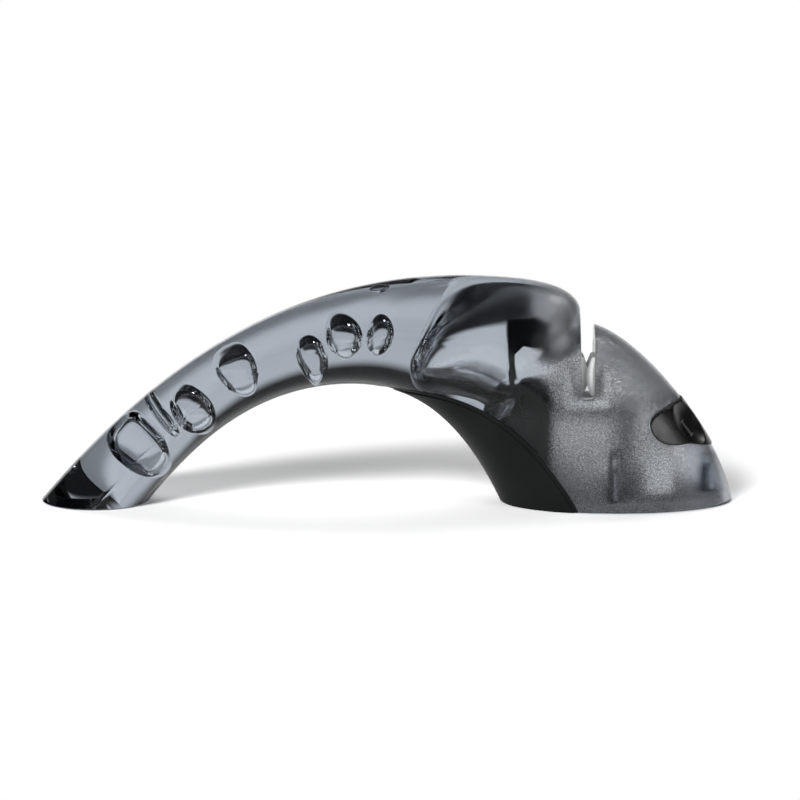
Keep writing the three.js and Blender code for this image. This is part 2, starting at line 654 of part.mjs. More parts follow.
// Half of a V-roll: a ceramic disc with one bevelled face, drawn along X.
function rollDisc(side) {
  const root = FIT / 2;
  const bore = AXLE_RADIUS + FIT;
  const profile = [
    v2(bore, root),
    v2(ROOT_RADIUS, root),
    v2(ROLL_RADIUS - 0.15, root + ROLL_BEVEL),
    v2(ROLL_RADIUS, root + ROLL_BEVEL + 0.2),
    v2(ROLL_RADIUS, root + ROLL_BEVEL + RIM_LAND),
    v2(ROLL_RADIUS - 0.4, ROLL_HALF_LENGTH),
    v2(bore, ROLL_HALF_LENGTH),
    v2(bore, root),
  ];
  const geometry = new THREE.LatheGeometry(profile, 24);
  geometry.rotateZ(side > 0 ? -Math.PI / 2 : Math.PI / 2);
  return solid(geometry);
}

function rollAxle() {
  const half = (CRADLE_HALF_LENGTH - 0.2) / Math.cos(ROLL_SKEW);
  return rodX(0, 0, AXLE_RADIUS, -half, half);
}

// Gloss cap that wraps the nose, hollow behind, with a thumb dish on each side.
function selectorButton() {
  const outline = prism(buttonShape(GAP), -60, 60);
  const outside = bodyForm(THREE.MathUtils.degToRad(40), 0, 24, -BUTTON_PROUD, 0, 40);
  const inside = bodyForm(THREE.MathUtils.degToRad(50), 0, 24, BUTTON_WALL - BUTTON_PROUD);
  const block = box(SLIDE_END + GAP, NOSE_TIP, -5, 5, SCREW_LINE - 3, SCREW_LINE + 3);
  let button = outside.subtract(inside).add(block.intersect(outside)).intersect(outline);
  for (const side of [-1, 1]) {
    const face = new THREE.Vector3(0.8, 0.44 * side, 0.41).normalize();
    const height = (BUTTON_FOOT + BUTTON_HEAD) / 2 + 0.3;
    const middle = new THREE.Vector3(NOSE_TIP - DISH_SETBACK, DISH_SPREAD * side, height);
    middle.addScaledVector(face, DISH_RADIUS - DISH_DEPTH);
    const dish = new THREE.SphereGeometry(DISH_RADIUS, 40, 28);
    button = button.subtract(solid(dish.translate(middle.x, middle.y, middle.z)));
  }
  const bore = BUTTON_SCREW_RADIUS + FIT;
  return button.subtract(rodX(0, SCREW_LINE, bore, SLIDE_END, SLIDE_END + BUTTON_SCREW_GRIP + 0.4));
}

// Slide behind the button: a foot in its channel, a column, and the finger for the lever.
function selectorSlide() {
  const seat = SPRING_SEAT + SPRING_THICKNESS + 0.5;
  const half = SLIDE_HALF_WIDTH;
  const shoulder = PLATE_TOP + 6;
  const fingerTip = SLOT_X + CRADLE_HALF_LENGTH - CHEEK;
  let slide = box(SLIDE_START, SLIDE_END, -half, half, seat, shoulder);
  slide = slide.add(box(SLIDE_START, SLIDE_END, -4, 4, shoulder - 1, SCREW_LINE + 2.6));
  slide = slide.add(rodX(0, FINGER_Z, FINGER_RADIUS, fingerTip, SLIDE_START + 1));
  for (const y of [-TRAVEL / 2, TRAVEL / 2]) {
    const notch = new THREE.CylinderGeometry(1.3, 1.3, 20, 6).rotateZ(Math.PI / 2);
    slide = slide.subtract(solid(notch.translate(SPRING_SCREW.x, y, seat)));
  }
  const bore = BUTTON_SCREW_RADIUS + FIT;
  slide = slide.subtract(rodX(0, SCREW_LINE, bore, SLIDE_START - 1, SLIDE_END + 1));
  return slide.subtract(rodX(0, SCREW_LINE, 2 + FIT, SLIDE_START - 1, SLIDE_START + 1.6));
}

function buttonScrew() {
  const head = rodX(0, SCREW_LINE, 2, SLIDE_START + 0.1, SLIDE_START + 1.4);
  const shank = rodX(0, SCREW_LINE, BUTTON_SCREW_RADIUS, SLIDE_START + 1, SLIDE_END + BUTTON_SCREW_GRIP);
  const slot = box(SLIDE_START - 1, SLIDE_START + 0.7, -0.3, 0.3, SCREW_LINE - 4, SCREW_LINE + 4);
  return head.add(shank).subtract(slot);
}

const SMOKE = 0x9ea5af;
const BLACK = 0x141616;
const RUBBER = 0x1b1c1d;
const STEEL = 0xb4b8bc;
const CERAMIC = 0xd8d8d4;
const DARK_CERAMIC = 0x8d8f90;
const PLATE_GREY = 0x4a4e53;
const PALE_GREY = 0xc3c5c4;

const root = new THREE.Group();
root.name = "knife_sharpener";
root.add(part("body_shell", bodyShell(), SMOKE, 0.08));
root.add(part("inner_cover", innerCover(), BLACK, 0.45));
root.add(part("base_plate", basePlate(), PLATE_GREY, 0.5));
root.add(part("tail_pad", tailPad(0, RIM), RUBBER, 0.85));
PADS.forEach((at, i) => {
  const pad = headPad(at, PAD_RADIUS, 0, RIM + PAD_RECESS - FIT);
  root.add(part(`head_pad_${i + 1}`, pad, RUBBER, 0.85));
});
SCREWS.forEach((at, i) => root.add(part(`base_screw_${i + 1}`, baseScrew(at), STEEL, 0.35, 1)));
root.add(part("pivot_shaft", pivotShaft(), STEEL, 0.3, 1));
root.add(part("shaft_clip", shaftClip(), STEEL, 0.35, 1));
root.add(part("detent_spring", detentSpring(), STEEL, 0.3, 1));
root.add(part("spring_screw", springScrew(), STEEL, 0.35, 1));

const selector = new THREE.Group();
selector.name = "selector";
selector.position.y = -TRAVEL / 2;
selector.add(part("selector_button", selectorButton(), BLACK, 0.18));
selector.add(part("selector_slide", selectorSlide(), PALE_GREY, 0.5));
selector.add(part("button_screw", buttonScrew(), STEEL, 0.35, 1));
root.add(selector);

const cradle = new THREE.Group();
cradle.name = "cradle";
cradle.position.z = PIVOT_Z;
cradle.rotation.x = -TILT;
cradle.add(part("roll_cradle", rollCradle(), PALE_GREY, 0.5));
for (const [name, side, color] of [["coarse", -1, CERAMIC], ["fine", 1, DARK_CERAMIC]]) {
  const roll = new THREE.Group();
  roll.name = `${name}_roll`;
  roll.position.set(SLOT_X, side * ROLL_Y, ROLL_RISE);
  roll.rotation.z = -ROLL_SKEW;
  roll.add(part(`${name}_disc_back`, rollDisc(-1), color, 0.6));
  roll.add(part(`${name}_disc_front`, rollDisc(1), color, 0.6));
  roll.add(part(`${name}_axle`, rollAxle(), STEEL, 0.3, 1));
  cradle.add(roll);
}
root.add(cradle);

export default root;
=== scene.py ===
import json
import math

import bmesh
import bpy
from mathutils import Matrix, Vector


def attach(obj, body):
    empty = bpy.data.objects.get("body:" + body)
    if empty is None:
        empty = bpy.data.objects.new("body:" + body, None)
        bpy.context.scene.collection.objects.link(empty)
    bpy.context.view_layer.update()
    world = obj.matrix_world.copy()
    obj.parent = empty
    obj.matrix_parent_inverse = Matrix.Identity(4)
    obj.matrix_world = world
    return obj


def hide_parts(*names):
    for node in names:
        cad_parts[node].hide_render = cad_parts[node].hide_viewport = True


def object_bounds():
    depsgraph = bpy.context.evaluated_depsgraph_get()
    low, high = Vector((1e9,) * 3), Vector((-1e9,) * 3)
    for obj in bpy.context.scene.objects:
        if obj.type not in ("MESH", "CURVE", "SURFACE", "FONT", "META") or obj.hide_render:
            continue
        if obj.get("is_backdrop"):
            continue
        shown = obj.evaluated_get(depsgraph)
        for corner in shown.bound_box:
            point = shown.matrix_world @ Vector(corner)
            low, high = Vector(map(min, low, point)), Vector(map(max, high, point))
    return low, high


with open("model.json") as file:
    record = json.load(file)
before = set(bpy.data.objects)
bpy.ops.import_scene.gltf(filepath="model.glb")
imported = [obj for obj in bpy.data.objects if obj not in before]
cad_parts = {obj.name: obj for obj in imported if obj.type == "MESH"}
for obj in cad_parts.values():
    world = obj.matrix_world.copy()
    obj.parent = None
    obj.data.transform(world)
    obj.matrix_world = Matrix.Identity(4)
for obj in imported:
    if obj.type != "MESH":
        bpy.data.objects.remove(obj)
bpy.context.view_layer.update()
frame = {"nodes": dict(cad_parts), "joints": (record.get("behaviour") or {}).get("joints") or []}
nodes = frame["nodes"]
joints = {joint["name"]: joint for joint in frame["joints"]}
scene = bpy.context.scene
scene.view_settings.view_transform = "Standard"


# The camera looks at the near flank of the sharpener from a little above. It stands far off,
# so the view is almost without perspective.
CAMERA_DISTANCE = 2.0
CAMERA_ELEVATION = math.radians(12)
CAMERA_AIM = Vector((0.004, 0, 0.03175))
CAMERA_SIGHT = 50
FRAME_WIDTH_AT_AIM = 0.2486
SENSOR = 36.0


def in_scene(name, data):
    """A new object of the scene for a mesh, a lamp or a camera."""
    made = bpy.data.objects.new(name, data)
    scene.collection.objects.link(made)
    return made


camera = in_scene("camera", bpy.data.cameras.new("camera"))
scene.camera = camera
camera.data.sensor_width = SENSOR
camera.data.lens = SENSOR * CAMERA_DISTANCE / FRAME_WIDTH_AT_AIM
camera.data.clip_end = CAMERA_SIGHT
toward_camera = Vector((0, -math.cos(CAMERA_ELEVATION), math.sin(CAMERA_ELEVATION)))
camera.location = CAMERA_AIM + toward_camera * CAMERA_DISTANCE
camera.rotation_euler = (math.pi / 2 - CAMERA_ELEVATION, 0, 0)


# The floor of the studio is a wide matt white sheet. Near the object it takes its shadow; further
# out it is plain white to the camera and in what the clear plastic shows.
FLOOR_HALF = 12.0
FLOOR_WHITE = (0.97, 0.97, 0.97)
FLOOR_ROUGHNESS = 0.9
SHADOW_REACH, WHITE_REACH = 0.12, 0.25
SHEET_FACE = (0, 1, 2, 3)


def mesh_object(name, points, faces):
    """A new object in the scene from points and faces."""
    mesh = bpy.data.meshes.new(name)
    mesh.from_pydata([tuple(p) for p in points], [], faces)
    mesh.validate()
    return in_scene(name, mesh)


def new_material(name):
    """A material with its tree and its Principled shader, both still plain."""
    material = bpy.data.materials.new(name)
    material.use_nodes = True
    tree = material.node_tree
    return material, tree, tree.nodes["Principled BSDF"]


def drive(tree, source, socket):
    """Links an output to a socket, or sets the socket to a plain number or colour."""
    if isinstance(source, bpy.types.NodeSocket):
        tree.links.new(source, socket)
    elif isinstance(source, tuple):
        socket.default_value = (*source, 1)
    else:
        socket.default_value = source


def reckon(tree, operation, *terms):
    """A math node on numbers and outputs."""
    node = tree.nodes.new("ShaderNodeMath")
    node.operation = operation
    for term, socket in zip(terms, node.inputs):
        drive(tree, term, socket)
    return node.outputs["Value"]


def run_between(tree, value, start, end, low=0.0, high=1.0, way="SMOOTHSTEP"):
    """Runs from low to high, softly or evenly, while a value runs from start to end."""
    node = tree.nodes.new("ShaderNodeMapRange")
    node.interpolation_type = way
    terms = {"Value": value, "From Min": start, "From Max": end, "To Min": low, "To Max": high}
    for name, term in terms.items():
        drive(tree, term, node.inputs[name])
    return node.outputs["Result"]


def show_either(tree, factor, first, second):
    """Gives the material's surface one shader or another, by a factor."""
    mixed = tree.nodes.new("ShaderNodeMixShader")
    tree.links.new(factor, mixed.inputs["Fac"])
    tree.links.new(first, mixed.inputs[1])
    tree.links.new(second, mixed.inputs[2])
    tree.links.new(mixed.outputs["Shader"], tree.nodes["Material Output"].inputs["Surface"])


floor_corners = [(x * FLOOR_HALF, y * FLOOR_HALF, 0) for x, y in ((-1, -1), (1, -1), (1, 1), (-1, 1))]
floor = mesh_object("floor", floor_corners, [SHEET_FACE])
floor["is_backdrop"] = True
floor_material, floor_tree, floor_shader = new_material("studio_floor")
drive(floor_tree, FLOOR_WHITE, floor_shader.inputs["Base Color"])
drive(floor_tree, FLOOR_ROUGHNESS, floor_shader.inputs["Roughness"])
drive(floor_tree, 0.0, floor_shader.inputs["Specular IOR Level"])
floor_white = floor_tree.nodes.new("ShaderNodeEmission")
floor_place = floor_tree.nodes.new("ShaderNodeTexCoord")
floor_distance = floor_tree.nodes.new("ShaderNodeVectorMath")
floor_distance.operation = "LENGTH"
floor_tree.links.new(floor_place.outputs["Object"], floor_distance.inputs[0])
floor_far = run_between(floor_tree, floor_distance.outputs["Value"], SHADOW_REACH, WHITE_REACH)
floor_path = floor_tree.nodes.new("ShaderNodeLightPath").outputs
floor_seen = reckon(floor_tree, "MAXIMUM", floor_path["Is Camera Ray"], floor_path["Is Glossy Ray"])
floor_seen = reckon(floor_tree, "MAXIMUM", floor_seen, floor_path["Is Transmission Ray"])
floor_share = reckon(floor_tree, "MULTIPLY", floor_seen, floor_far)
show_either(floor_tree, floor_share, floor_shader.outputs["BSDF"], floor_white.outputs["Emission"])
floor.data.materials.append(floor_material)


# Far behind stands a plain white backdrop that glows and fades upward into the dim room.
# The handle is clear, so it shows the backdrop's white low down and the dark room above it.
BACKDROP_Y, BACKDROP_HALF = 6.0, 9.0
BACKDROP_FOOT, BACKDROP_WHITE, BACKDROP_TOP = 0.001, 0.2, 1.4
BACKDROP_DIM = 0.02


def place_along(tree, axis):
    """Where a point of the surface lies along one axis of its object."""
    place = tree.nodes.new("ShaderNodeTexCoord")
    parts = tree.nodes.new("ShaderNodeSeparateXYZ")
    tree.links.new(place.outputs["Object"], parts.inputs["Vector"])
    return parts.outputs[axis]


backdrop_corners = [(side * BACKDROP_HALF, BACKDROP_Y, BACKDROP_FOOT) for side in (-1, 1)]
backdrop_corners += [(side * BACKDROP_HALF, BACKDROP_Y, BACKDROP_TOP) for side in (1, -1)]
backdrop = mesh_object("backdrop", backdrop_corners, [SHEET_FACE])
backdrop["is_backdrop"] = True
backdrop_material, backdrop_tree, _ = new_material("studio_backdrop")
backdrop_glow = backdrop_tree.nodes.new("ShaderNodeEmission")
backdrop_height = place_along(backdrop_tree, "Z")
backdrop_fade = run_between(backdrop_tree, backdrop_height, BACKDROP_WHITE, BACKDROP_TOP, 1.0, BACKDROP_DIM)
drive(backdrop_tree, backdrop_fade, backdrop_glow.inputs["Strength"])
backdrop_output = backdrop_tree.nodes["Material Output"]
backdrop_tree.links.new(backdrop_glow.outputs["Emission"], backdrop_output.inputs["Surface"])
backdrop.data.materials.append(backdrop_material)


# Four lamps in a dim room: a key at the front left, a wide lamp on the ceiling behind, a small
# accent for the glints and a panel at the front right. Those that would show as hard squares are
# kept out of what gloss mirrors or out of what is seen through the clear plastic.
ROOM_COLOUR = (0.02, 0.0205, 0.021)
OBJECT_MIDDLE = (0, 0, 0.03)
HEAD_MIDDLE = (0.06, 0, 0.03)
FLOOR_MIDDLE = (0, 0, 0)


def soft_box(name, place, aim, size, watts, mirrored=True, seen_through=True):
    """A flat lamp that faces a point of the object."""
    lamp = bpy.data.lights.new(name, "AREA")
    lamp.shape = "RECTANGLE"
    lamp.size, lamp.size_y = size
    lamp.energy = watts
    box = in_scene(name, lamp)
    box.location = place
    box.rotation_euler = (Vector(aim) - Vector(place)).to_track_quat("-Z", "Y").to_euler()
    box.visible_glossy = mirrored
    box.visible_transmission = seen_through


soft_box(
    "ceiling", place=(0.1, 1.0, 1.2), aim=FLOOR_MIDDLE, size=(1.6, 0.8), watts=11,
    mirrored=False, seen_through=False,
)
soft_box(
    "key", place=(-0.5, -0.95, 0.86), aim=OBJECT_MIDDLE, size=(0.4, 0.34), watts=22,
    mirrored=False, seen_through=False,
)
soft_box("accent", place=(0.62, 0.4, 0.95), aim=OBJECT_MIDDLE, size=(0.2, 0.2), watts=2.0)
soft_box(
    "panel", place=(1.25, -0.95, 0.6), aim=HEAD_MIDDLE, size=(0.8, 0.5), watts=9,
    seen_through=False,
)
world = bpy.data.worlds.new("studio_surround")
scene.world = world
world.use_nodes = True
drive(world.node_tree, ROOM_COLOUR, world.node_tree.nodes["Background"].inputs["Color"])


# The body is one injection moulding in clear smoke-grey plastic: a solid arch that is the
# handle, and a hollow head. It is polished outside; the hollow of the head is grained.
# Its sections fan out from a point on the ground inside the arch, as ovals on each ray.
MM = 0.001
LENGTH = 215 * MM
HEIGHT = 70.8 * MM
RIM = 0.4 * MM
TAIL_TIP = -LENGTH / 2
NOSE_TIP = LENGTH / 2
TAIL_SOLE = 33.5 * MM
HEAD_SOLE = 72.4 * MM
HEEL = TAIL_TIP + TAIL_SOLE
HEAD_BACK = NOSE_TIP - HEAD_SOLE
ARCH_X = -11 * MM
ARCH_HEIGHT = 37.5 * MM
CROWN_X = NOSE_TIP - 84.5 * MM
SLOT_X = NOSE_TIP - 45.5 * MM
FAN = Vector((ARCH_X - 7 * MM, RIM))
WIDTH_STOPS = (
    (math.pi, 15.5 * MM),
    (math.pi * 0.8, 13 * MM),
    (math.pi * 0.5, 14.8 * MM),
    (0.0, 21 * MM),
)
HEAD_HALF = WIDTH_STOPS[-1][1]
TAIL_STEPS, CROWN_STEPS, SLOT_STEPS, NOSE_STEPS, ARCH_STEPS = 300, 160, 8, 200, 200


def curve(points, steps):
    """Points along a cubic curve through the side view, without its last one."""
    a, b, c, d = (Vector(p) for p in points)
    line = []
    for i in range(steps):
        t = i / steps
        s = 1 - t
        line.append(a * s**3 + b * (3 * s * s * t) + c * (3 * s * t * t) + d * t**3)
    return line


# The outer line of the side view runs from the tail over the crown and the slot to the nose.
tail_end = (TAIL_TIP, RIM)
tail_lean = (TAIL_TIP + 28.9 * MM, RIM + 34.5 * MM)
crown_behind = (CROWN_X - 60 * MM, HEIGHT)
crown = (CROWN_X, HEIGHT)
crown_ahead = (CROWN_X + 24 * MM, HEIGHT)
slot_left = (SLOT_X - 1.7 * MM, HEIGHT - 11.8 * MM)
slot_lean = (slot_left[0] - 0.8 * MM, HEIGHT - 3.3 * MM)
slot_right = (SLOT_X + 1.5 * MM, HEIGHT - 15.2 * MM)
nose_start = (slot_right[0] + 14.7 * MM, slot_right[1] - 3.1 * MM)
nose_lean = (NOSE_TIP - 3.8 * MM, 21.7 * MM)
nose_end = (NOSE_TIP, RIM)
outer_line = curve((tail_end, tail_lean, crown_behind, crown), TAIL_STEPS)
outer_line += curve((crown, crown_ahead, slot_lean, slot_left), CROWN_STEPS)
outer_line += [Vector(slot_left).lerp(Vector(slot_right), i / SLOT_STEPS) for i in range(SLOT_STEPS)]
outer_line += curve((slot_right, nose_start, nose_lean, nose_end), NOSE_STEPS)
outer_line.append(Vector(nose_end))

# The inner line is the arch over the fingers, from the heel of the tail to the foot of the head.
heel_end = (HEEL, RIM)
heel_lean = (HEEL + 14.2 * MM, RIM + 18.1 * MM)
arch_behind = (ARCH_X - 29 * MM, ARCH_HEIGHT)
arch_top = (ARCH_X, ARCH_HEIGHT)
arch_ahead = (ARCH_X + 19 * MM, ARCH_HEIGHT)
head_lean = (HEAD_BACK - 12.7 * MM, 27.2 * MM)
head_foot = (HEAD_BACK, RIM)
inner_line = curve((heel_end, heel_lean, arch_behind, arch_top), ARCH_STEPS)
inner_line += curve((arch_top, arch_ahead, head_lean, head_foot), ARCH_STEPS)
inner_line.append(Vector(head_foot))


def reach(line, angle):
    """How far from the fan's point its ray at one angle meets a line of the side view."""
    for start, end in zip(line, line[1:]):
        a = math.atan2(max(start.y - FAN.y, 0), start.x - FAN.x)
        b = math.atan2(max(end.y - FAN.y, 0), end.x - FAN.x)
        if a >= angle >= b and a > b:
            return (start.lerp(end, (a - angle) / (a - b)) - FAN).length
    raise ValueError("the fan misses the outline")


def half_width(angle):
    """Half of the body's width on a ray of the fan."""
    for (start, a), (end, b) in zip(WIDTH_STOPS, WIDTH_STOPS[1:]):
        if angle >= end:
            t = (start - angle) / (start - end)
            return a + (b - a) * t * t * (3 - 2 * t)
    return HEAD_HALF


def signed_power(value, power):
    """A power that keeps the sign of its value."""
    return math.copysign(abs(value) ** power, value)


OVAL_LOW, OVAL_RISE = 2.05, 0.45
PARTING_HALF = 0.012
PARTING_HEIGHT = 0.07 * MM
ON_FLANK = 1e-6


def section(angle, inset, count, parted=False, ceiling=0.0, bed=0.0, shoulder=0.0):
    """One oval ring of points on a ray, drawn in from the surface by an inset. The moulding's
    parting line is a fine ridge along the middle of each flank."""
    near = reach(inner_line, angle) + inset + bed
    far = reach(outer_line, angle) - inset - ceiling
    width = half_width(angle) - inset
    power = 2 / (OVAL_LOW + OVAL_RISE * math.sin(angle))
    ring = []
    turns = [i / count * math.tau for i in range(count)]
    if parted:
        flanks = (math.pi / 2, math.pi * 1.5)
        turns = sorted(turns + [flank + side * PARTING_HALF for flank in flanks for side in (-1, 1)])
    for turn in turns:
        bend = power + shoulder * max(math.cos(turn), 0)
        radius = (near + far) / 2 + signed_power(math.cos(turn), bend) * (far - near) / 2
        y = signed_power(math.sin(turn), bend) * width
        if parted and abs(math.cos(turn)) < ON_FLANK:
            y += math.copysign(PARTING_HEIGHT, y)
        ring.append(Vector((FAN.x + radius * math.cos(angle), y, FAN.y + radius * math.sin(angle))))
    return ring


def loft(name, rings):
    """A closed body through rings of equal length, with flat ends, facing outward."""
    count = len(rings[0])
    points = [p for ring in rings for p in ring]
    faces = []
    for r in range(len(rings) - 1):
        for i in range(count):
            a = r * count + i
            b = r * count + (i + 1) % count
            faces.append((a, a + count, b + count, b))
    faces.append(tuple(range(count)))
    last = (len(rings) - 1) * count
    faces.append(tuple(last + i for i in reversed(range(count))))
    return mesh_object(name, points, faces)


def body_form(name, start, end, steps, inset, count, drop=0.0, parted=False):
    """The body between two angles of the fan; a drop carries the last ring below the rim."""
    angles = [start + (end - start) * i / steps for i in range(steps + 1)]
    rings = [section(angle, inset, count, parted) for angle in angles]
    if drop:
        rings.append([p - Vector((0, 0, drop)) for p in rings[-1]])
    return loft(name, rings)


def face_out(mesh):
    """Turns the faces of a closed mesh outward."""
    edit = bmesh.new()
    edit.from_mesh(mesh)
    bmesh.ops.recalc_face_normals(edit, faces=edit.faces)
    edit.to_mesh(mesh)
    edit.free()


def prism(name, outline, half):
    """An outline of the side view, run across the object to both sides."""
    count = len(outline)
    points = [(x, -half, z) for x, z in outline] + [(x, half, z) for x, z in outline]
    faces = [(i, (i + 1) % count, (i + 1) % count + count, i + count) for i in range(count)]
    faces += [tuple(reversed(range(count))), tuple(range(count, 2 * count))]
    made = mesh_object(name, points, faces)
    face_out(made.data)
    return made


def block(name, low, high):
    """A straight bar between two corners, for ribs and webs."""
    outline = [(low[0], low[2]), (high[0], low[2]), (high[0], high[2]), (low[0], high[2])]
    made = prism(name, outline, (high[1] - low[1]) / 2)
    made.data.transform(Matrix.Translation((0, (low[1] + high[1]) / 2, 0)))
    return made


def object_from(name, edit):
    """A new object from a mesh that was being edited, which is used up."""
    mesh = bpy.data.meshes.new(name)
    edit.to_mesh(mesh)
    edit.free()
    return in_scene(name, mesh)


def rod(name, start, end, radius, sides=48, taper=1.0):
    """A round bar between two points, thinner or not at its end."""
    edit = bmesh.new()
    axis = Vector(end) - Vector(start)
    turn = axis.to_track_quat("Z", "Y").to_matrix().to_4x4()
    place = Matrix.Translation((Vector(start) + Vector(end)) / 2) @ turn
    radii = {"radius1": radius, "radius2": radius * taper}
    bmesh.ops.create_cone(edit, cap_ends=True, segments=sides, depth=axis.length, matrix=place, **radii)
    return object_from(name, edit)


def carve(target, tool, operation):
    """Cuts, joins or trims one object by another, which is used up."""
    change = target.modifiers.new("carve", "BOOLEAN")
    change.object = tool
    change.operation = operation
    change.solver = "EXACT"
    change.material_mode = "TRANSFER"
    graph = bpy.context.evaluated_depsgraph_get()
    mesh = bpy.data.meshes.new_from_object(target.evaluated_get(graph))
    target.modifiers.clear()
    target.data = mesh
    bpy.data.objects.remove(tool)


def finish_with(made, material):
    """Leaves a piece with one material."""
    made.data.materials.clear()
    made.data.materials.append(material)


COVER_TIP = ARCH_X + 9.5 * MM
SEAM_STEPS = 90
SEAM_BELOW = 5 * MM


def seam_outline(shift):
    """The side of the seam that the black cover takes, cut blunt under the arch."""
    tip = (ARCH_X + 7 * MM, ARCH_HEIGHT - 0.1 * MM - shift)
    over = (tip[0] + 28 * MM, ARCH_HEIGHT + 1 * MM - shift)
    rise = (SLOT_X - 2.7 * MM - shift, RIM)
    down = (rise[0] - 17.5 * MM, ARCH_HEIGHT - 6 * MM - shift)
    below = RIM - SEAM_BELOW
    blunt = COVER_TIP + shift
    line = curve((tip, over, down, rise), SEAM_STEPS)
    first = next(i for i, p in enumerate(line) if p.x > blunt)
    before, after = line[first - 1], line[first]
    start = before.lerp(after, (blunt - before.x) / (after.x - before.x))
    edge = [tuple(p) for p in [start] + line[first:]] + [rise]
    return edge + [(rise[0], below), (blunt, below)]


WALL = 2.4 * MM
CAVITY_ANGLE = math.radians(61)
CEILING = 2.6 * MM
CEILING_START, CEILING_FULL = 4, 18
SLOT_BLOCK = 3 * MM
SLOT_ANGLE = math.atan2(HEIGHT - 11.2 * MM - FAN.y, SLOT_X - FAN.x)
SLOT_SPREAD = math.radians(3)
SHOULDER = 0.35
SHOULDER_START, SHOULDER_FULL = 30, 38
DOME = math.radians(15)
DOME_DEPTH = 10.5 * MM
BED = 1.6 * MM
BED_START, BED_FULL = 27.1, 33.1
HOLLOW_STEPS = 160
HOLLOW_DROP = 6 * MM
RING = 96


def ease(value, start, end):
    """A soft step from 0 to 1 between two values."""
    t = min(max((value - start) / (end - start), 0), 1)
    return t * t * (3 - 2 * t)


def hollow_form(name, extra=0.0):
    """The hollow of the head: a round end toward the handle, a thick ceiling, most of all round
    the slot, thin flanks, and a bed above the cover as far as the bearing block."""
    seam = [Vector(p) for p in seam_outline(0)[:-2]]
    rings = []
    for i in range(HOLLOW_STEPS + 1):
        angle = CAVITY_ANGLE * (1 - i / HOLLOW_STEPS)
        from_end = min((CAVITY_ANGLE - angle) / DOME, 1)
        shrink = DOME_DEPTH * (1 - math.sqrt(1 - (1 - from_end) ** 2))
        degrees = math.degrees(angle)
        wedge = SLOT_BLOCK * math.exp(-(((angle - SLOT_ANGLE) / SLOT_SPREAD) ** 2))
        ceiling = CEILING * ease(degrees, CEILING_START, CEILING_FULL) + wedge
        bed = 0
        if degrees > BED_START:
            cover_depth = reach(seam, angle) - reach(inner_line, angle)
            bed = max(cover_depth + BED - WALL, 0) * ease(degrees, BED_START, BED_FULL)
        shoulder = SHOULDER * ease(degrees, SHOULDER_START, SHOULDER_FULL)
        inset = WALL + extra + shrink
        rings.append(section(angle, inset, RING, ceiling=ceiling, bed=bed, shoulder=shoulder))
    rings.append([p - Vector((0, 0, HOLLOW_DROP)) for p in rings[-1]])
    return loft(name, rings)


ROLL_Z = HEIGHT - 30.9 * MM
ROLL_RADIUS = 6 * MM
SLOT_TOP, SLOT_WAIST, SLOT_FOOT = 2.35 * MM, 2.15 * MM, 1.8 * MM
SLOT_CORNER = 0.8 * MM
WAIST_OVER_ROLL = 1 * MM
FOOT_IN_ROLL = 1.5 * MM
CORNER_STEPS = 8


def slot_outline():
    """The knife slot in the side view: tapered walls and a foot with round corners."""
    waist_z = ROLL_Z + ROLL_RADIUS + WAIST_OVER_ROLL
    foot_z = ROLL_Z - ROLL_RADIUS + FOOT_IN_ROLL + SLOT_CORNER
    turns = [math.pi / 2 * i / CORNER_STEPS for i in range(CORNER_STEPS + 1)]
    bend = [(math.cos(t) * SLOT_CORNER, math.sin(t) * SLOT_CORNER) for t in turns]
    inset = SLOT_FOOT - SLOT_CORNER
    left = [(-SLOT_TOP, HEIGHT), (-SLOT_WAIST, waist_z)]
    left += [(-inset - x, foot_z - z) for x, z in bend]
    right = [(-x, z) for x, z in reversed(left)]
    return [(SLOT_X + x, z) for x, z in left + right]


BUTTON_BACK = NOSE_TIP - 26.7 * MM
BUTTON_FOOT = 20.6 * MM
BUTTON_HEAD = 33.2 * MM
BUTTON_MIDDLE = (BUTTON_FOOT + BUTTON_HEAD) / 2
BUTTON_STEPS = 24


def button_outline(inset):
    """The opening for the selector in the side view; an inset gives the button in it."""
    left = BUTTON_BACK + inset
    foot = BUTTON_FOOT + inset
    head = BUTTON_HEAD - inset
    middle = BUTTON_MIDDLE + 0.5 * MM
    past = NOSE_TIP + 2 * MM
    back = (left, middle)
    crest = (left + 10 * MM, head)
    sole = (left + 8 * MM, foot)
    upper = curve((back, (left, middle + 2.8 * MM), (left + 5 * MM, head - 0.6 * MM), crest), BUTTON_STEPS)
    lower = curve((sole, (left + 4 * MM, foot), (left, middle - 3.2 * MM), back), BUTTON_STEPS)
    front = [crest, (past, head + 10 * MM), (past, foot - 5 * MM), (left + 12.4 * MM, foot)]
    return [tuple(p) for p in upper] + front + [tuple(p) for p in lower]


smoke, smoke_tree, smoke_shader = new_material("smoke_plastic")
inner_skin = bpy.data.materials.new("inner_skin")
BODY_STEPS = 190
ACROSS = 60 * MM

body = body_form("body_shell_clear", math.pi, 0, BODY_STEPS, 0, RING, parted=True)
body.data.materials.append(smoke)
hollow = hollow_form("hollow")
hollow.data.materials.append(inner_skin)
carve(body, hollow, "DIFFERENCE")

# Three screw bosses stand in the head, each webbed to the wall beside it and bored from below.
PLATE_TOP = RIM + 2.6 * MM
BOSS_FOOT = PLATE_TOP + 0.3 * MM
BOSS_RADIUS, BOSS_TAPER = 2.9 * MM, 0.75
BOSS_SETBACK = 8.4 * MM
NOSE_BOSS_TOP, SIDE_BOSS_TOP = 15 * MM, 19 * MM
SIDE_BOSS_Y = HEAD_HALF - 6.6 * MM
BORE_RADIUS, BORE_DEPTH = 1.5 * MM, 8.6 * MM
WEB = 2 * MM
TRIM, TRIM_STEPS, TRIM_RING = 0.4 * MM, 60, 64

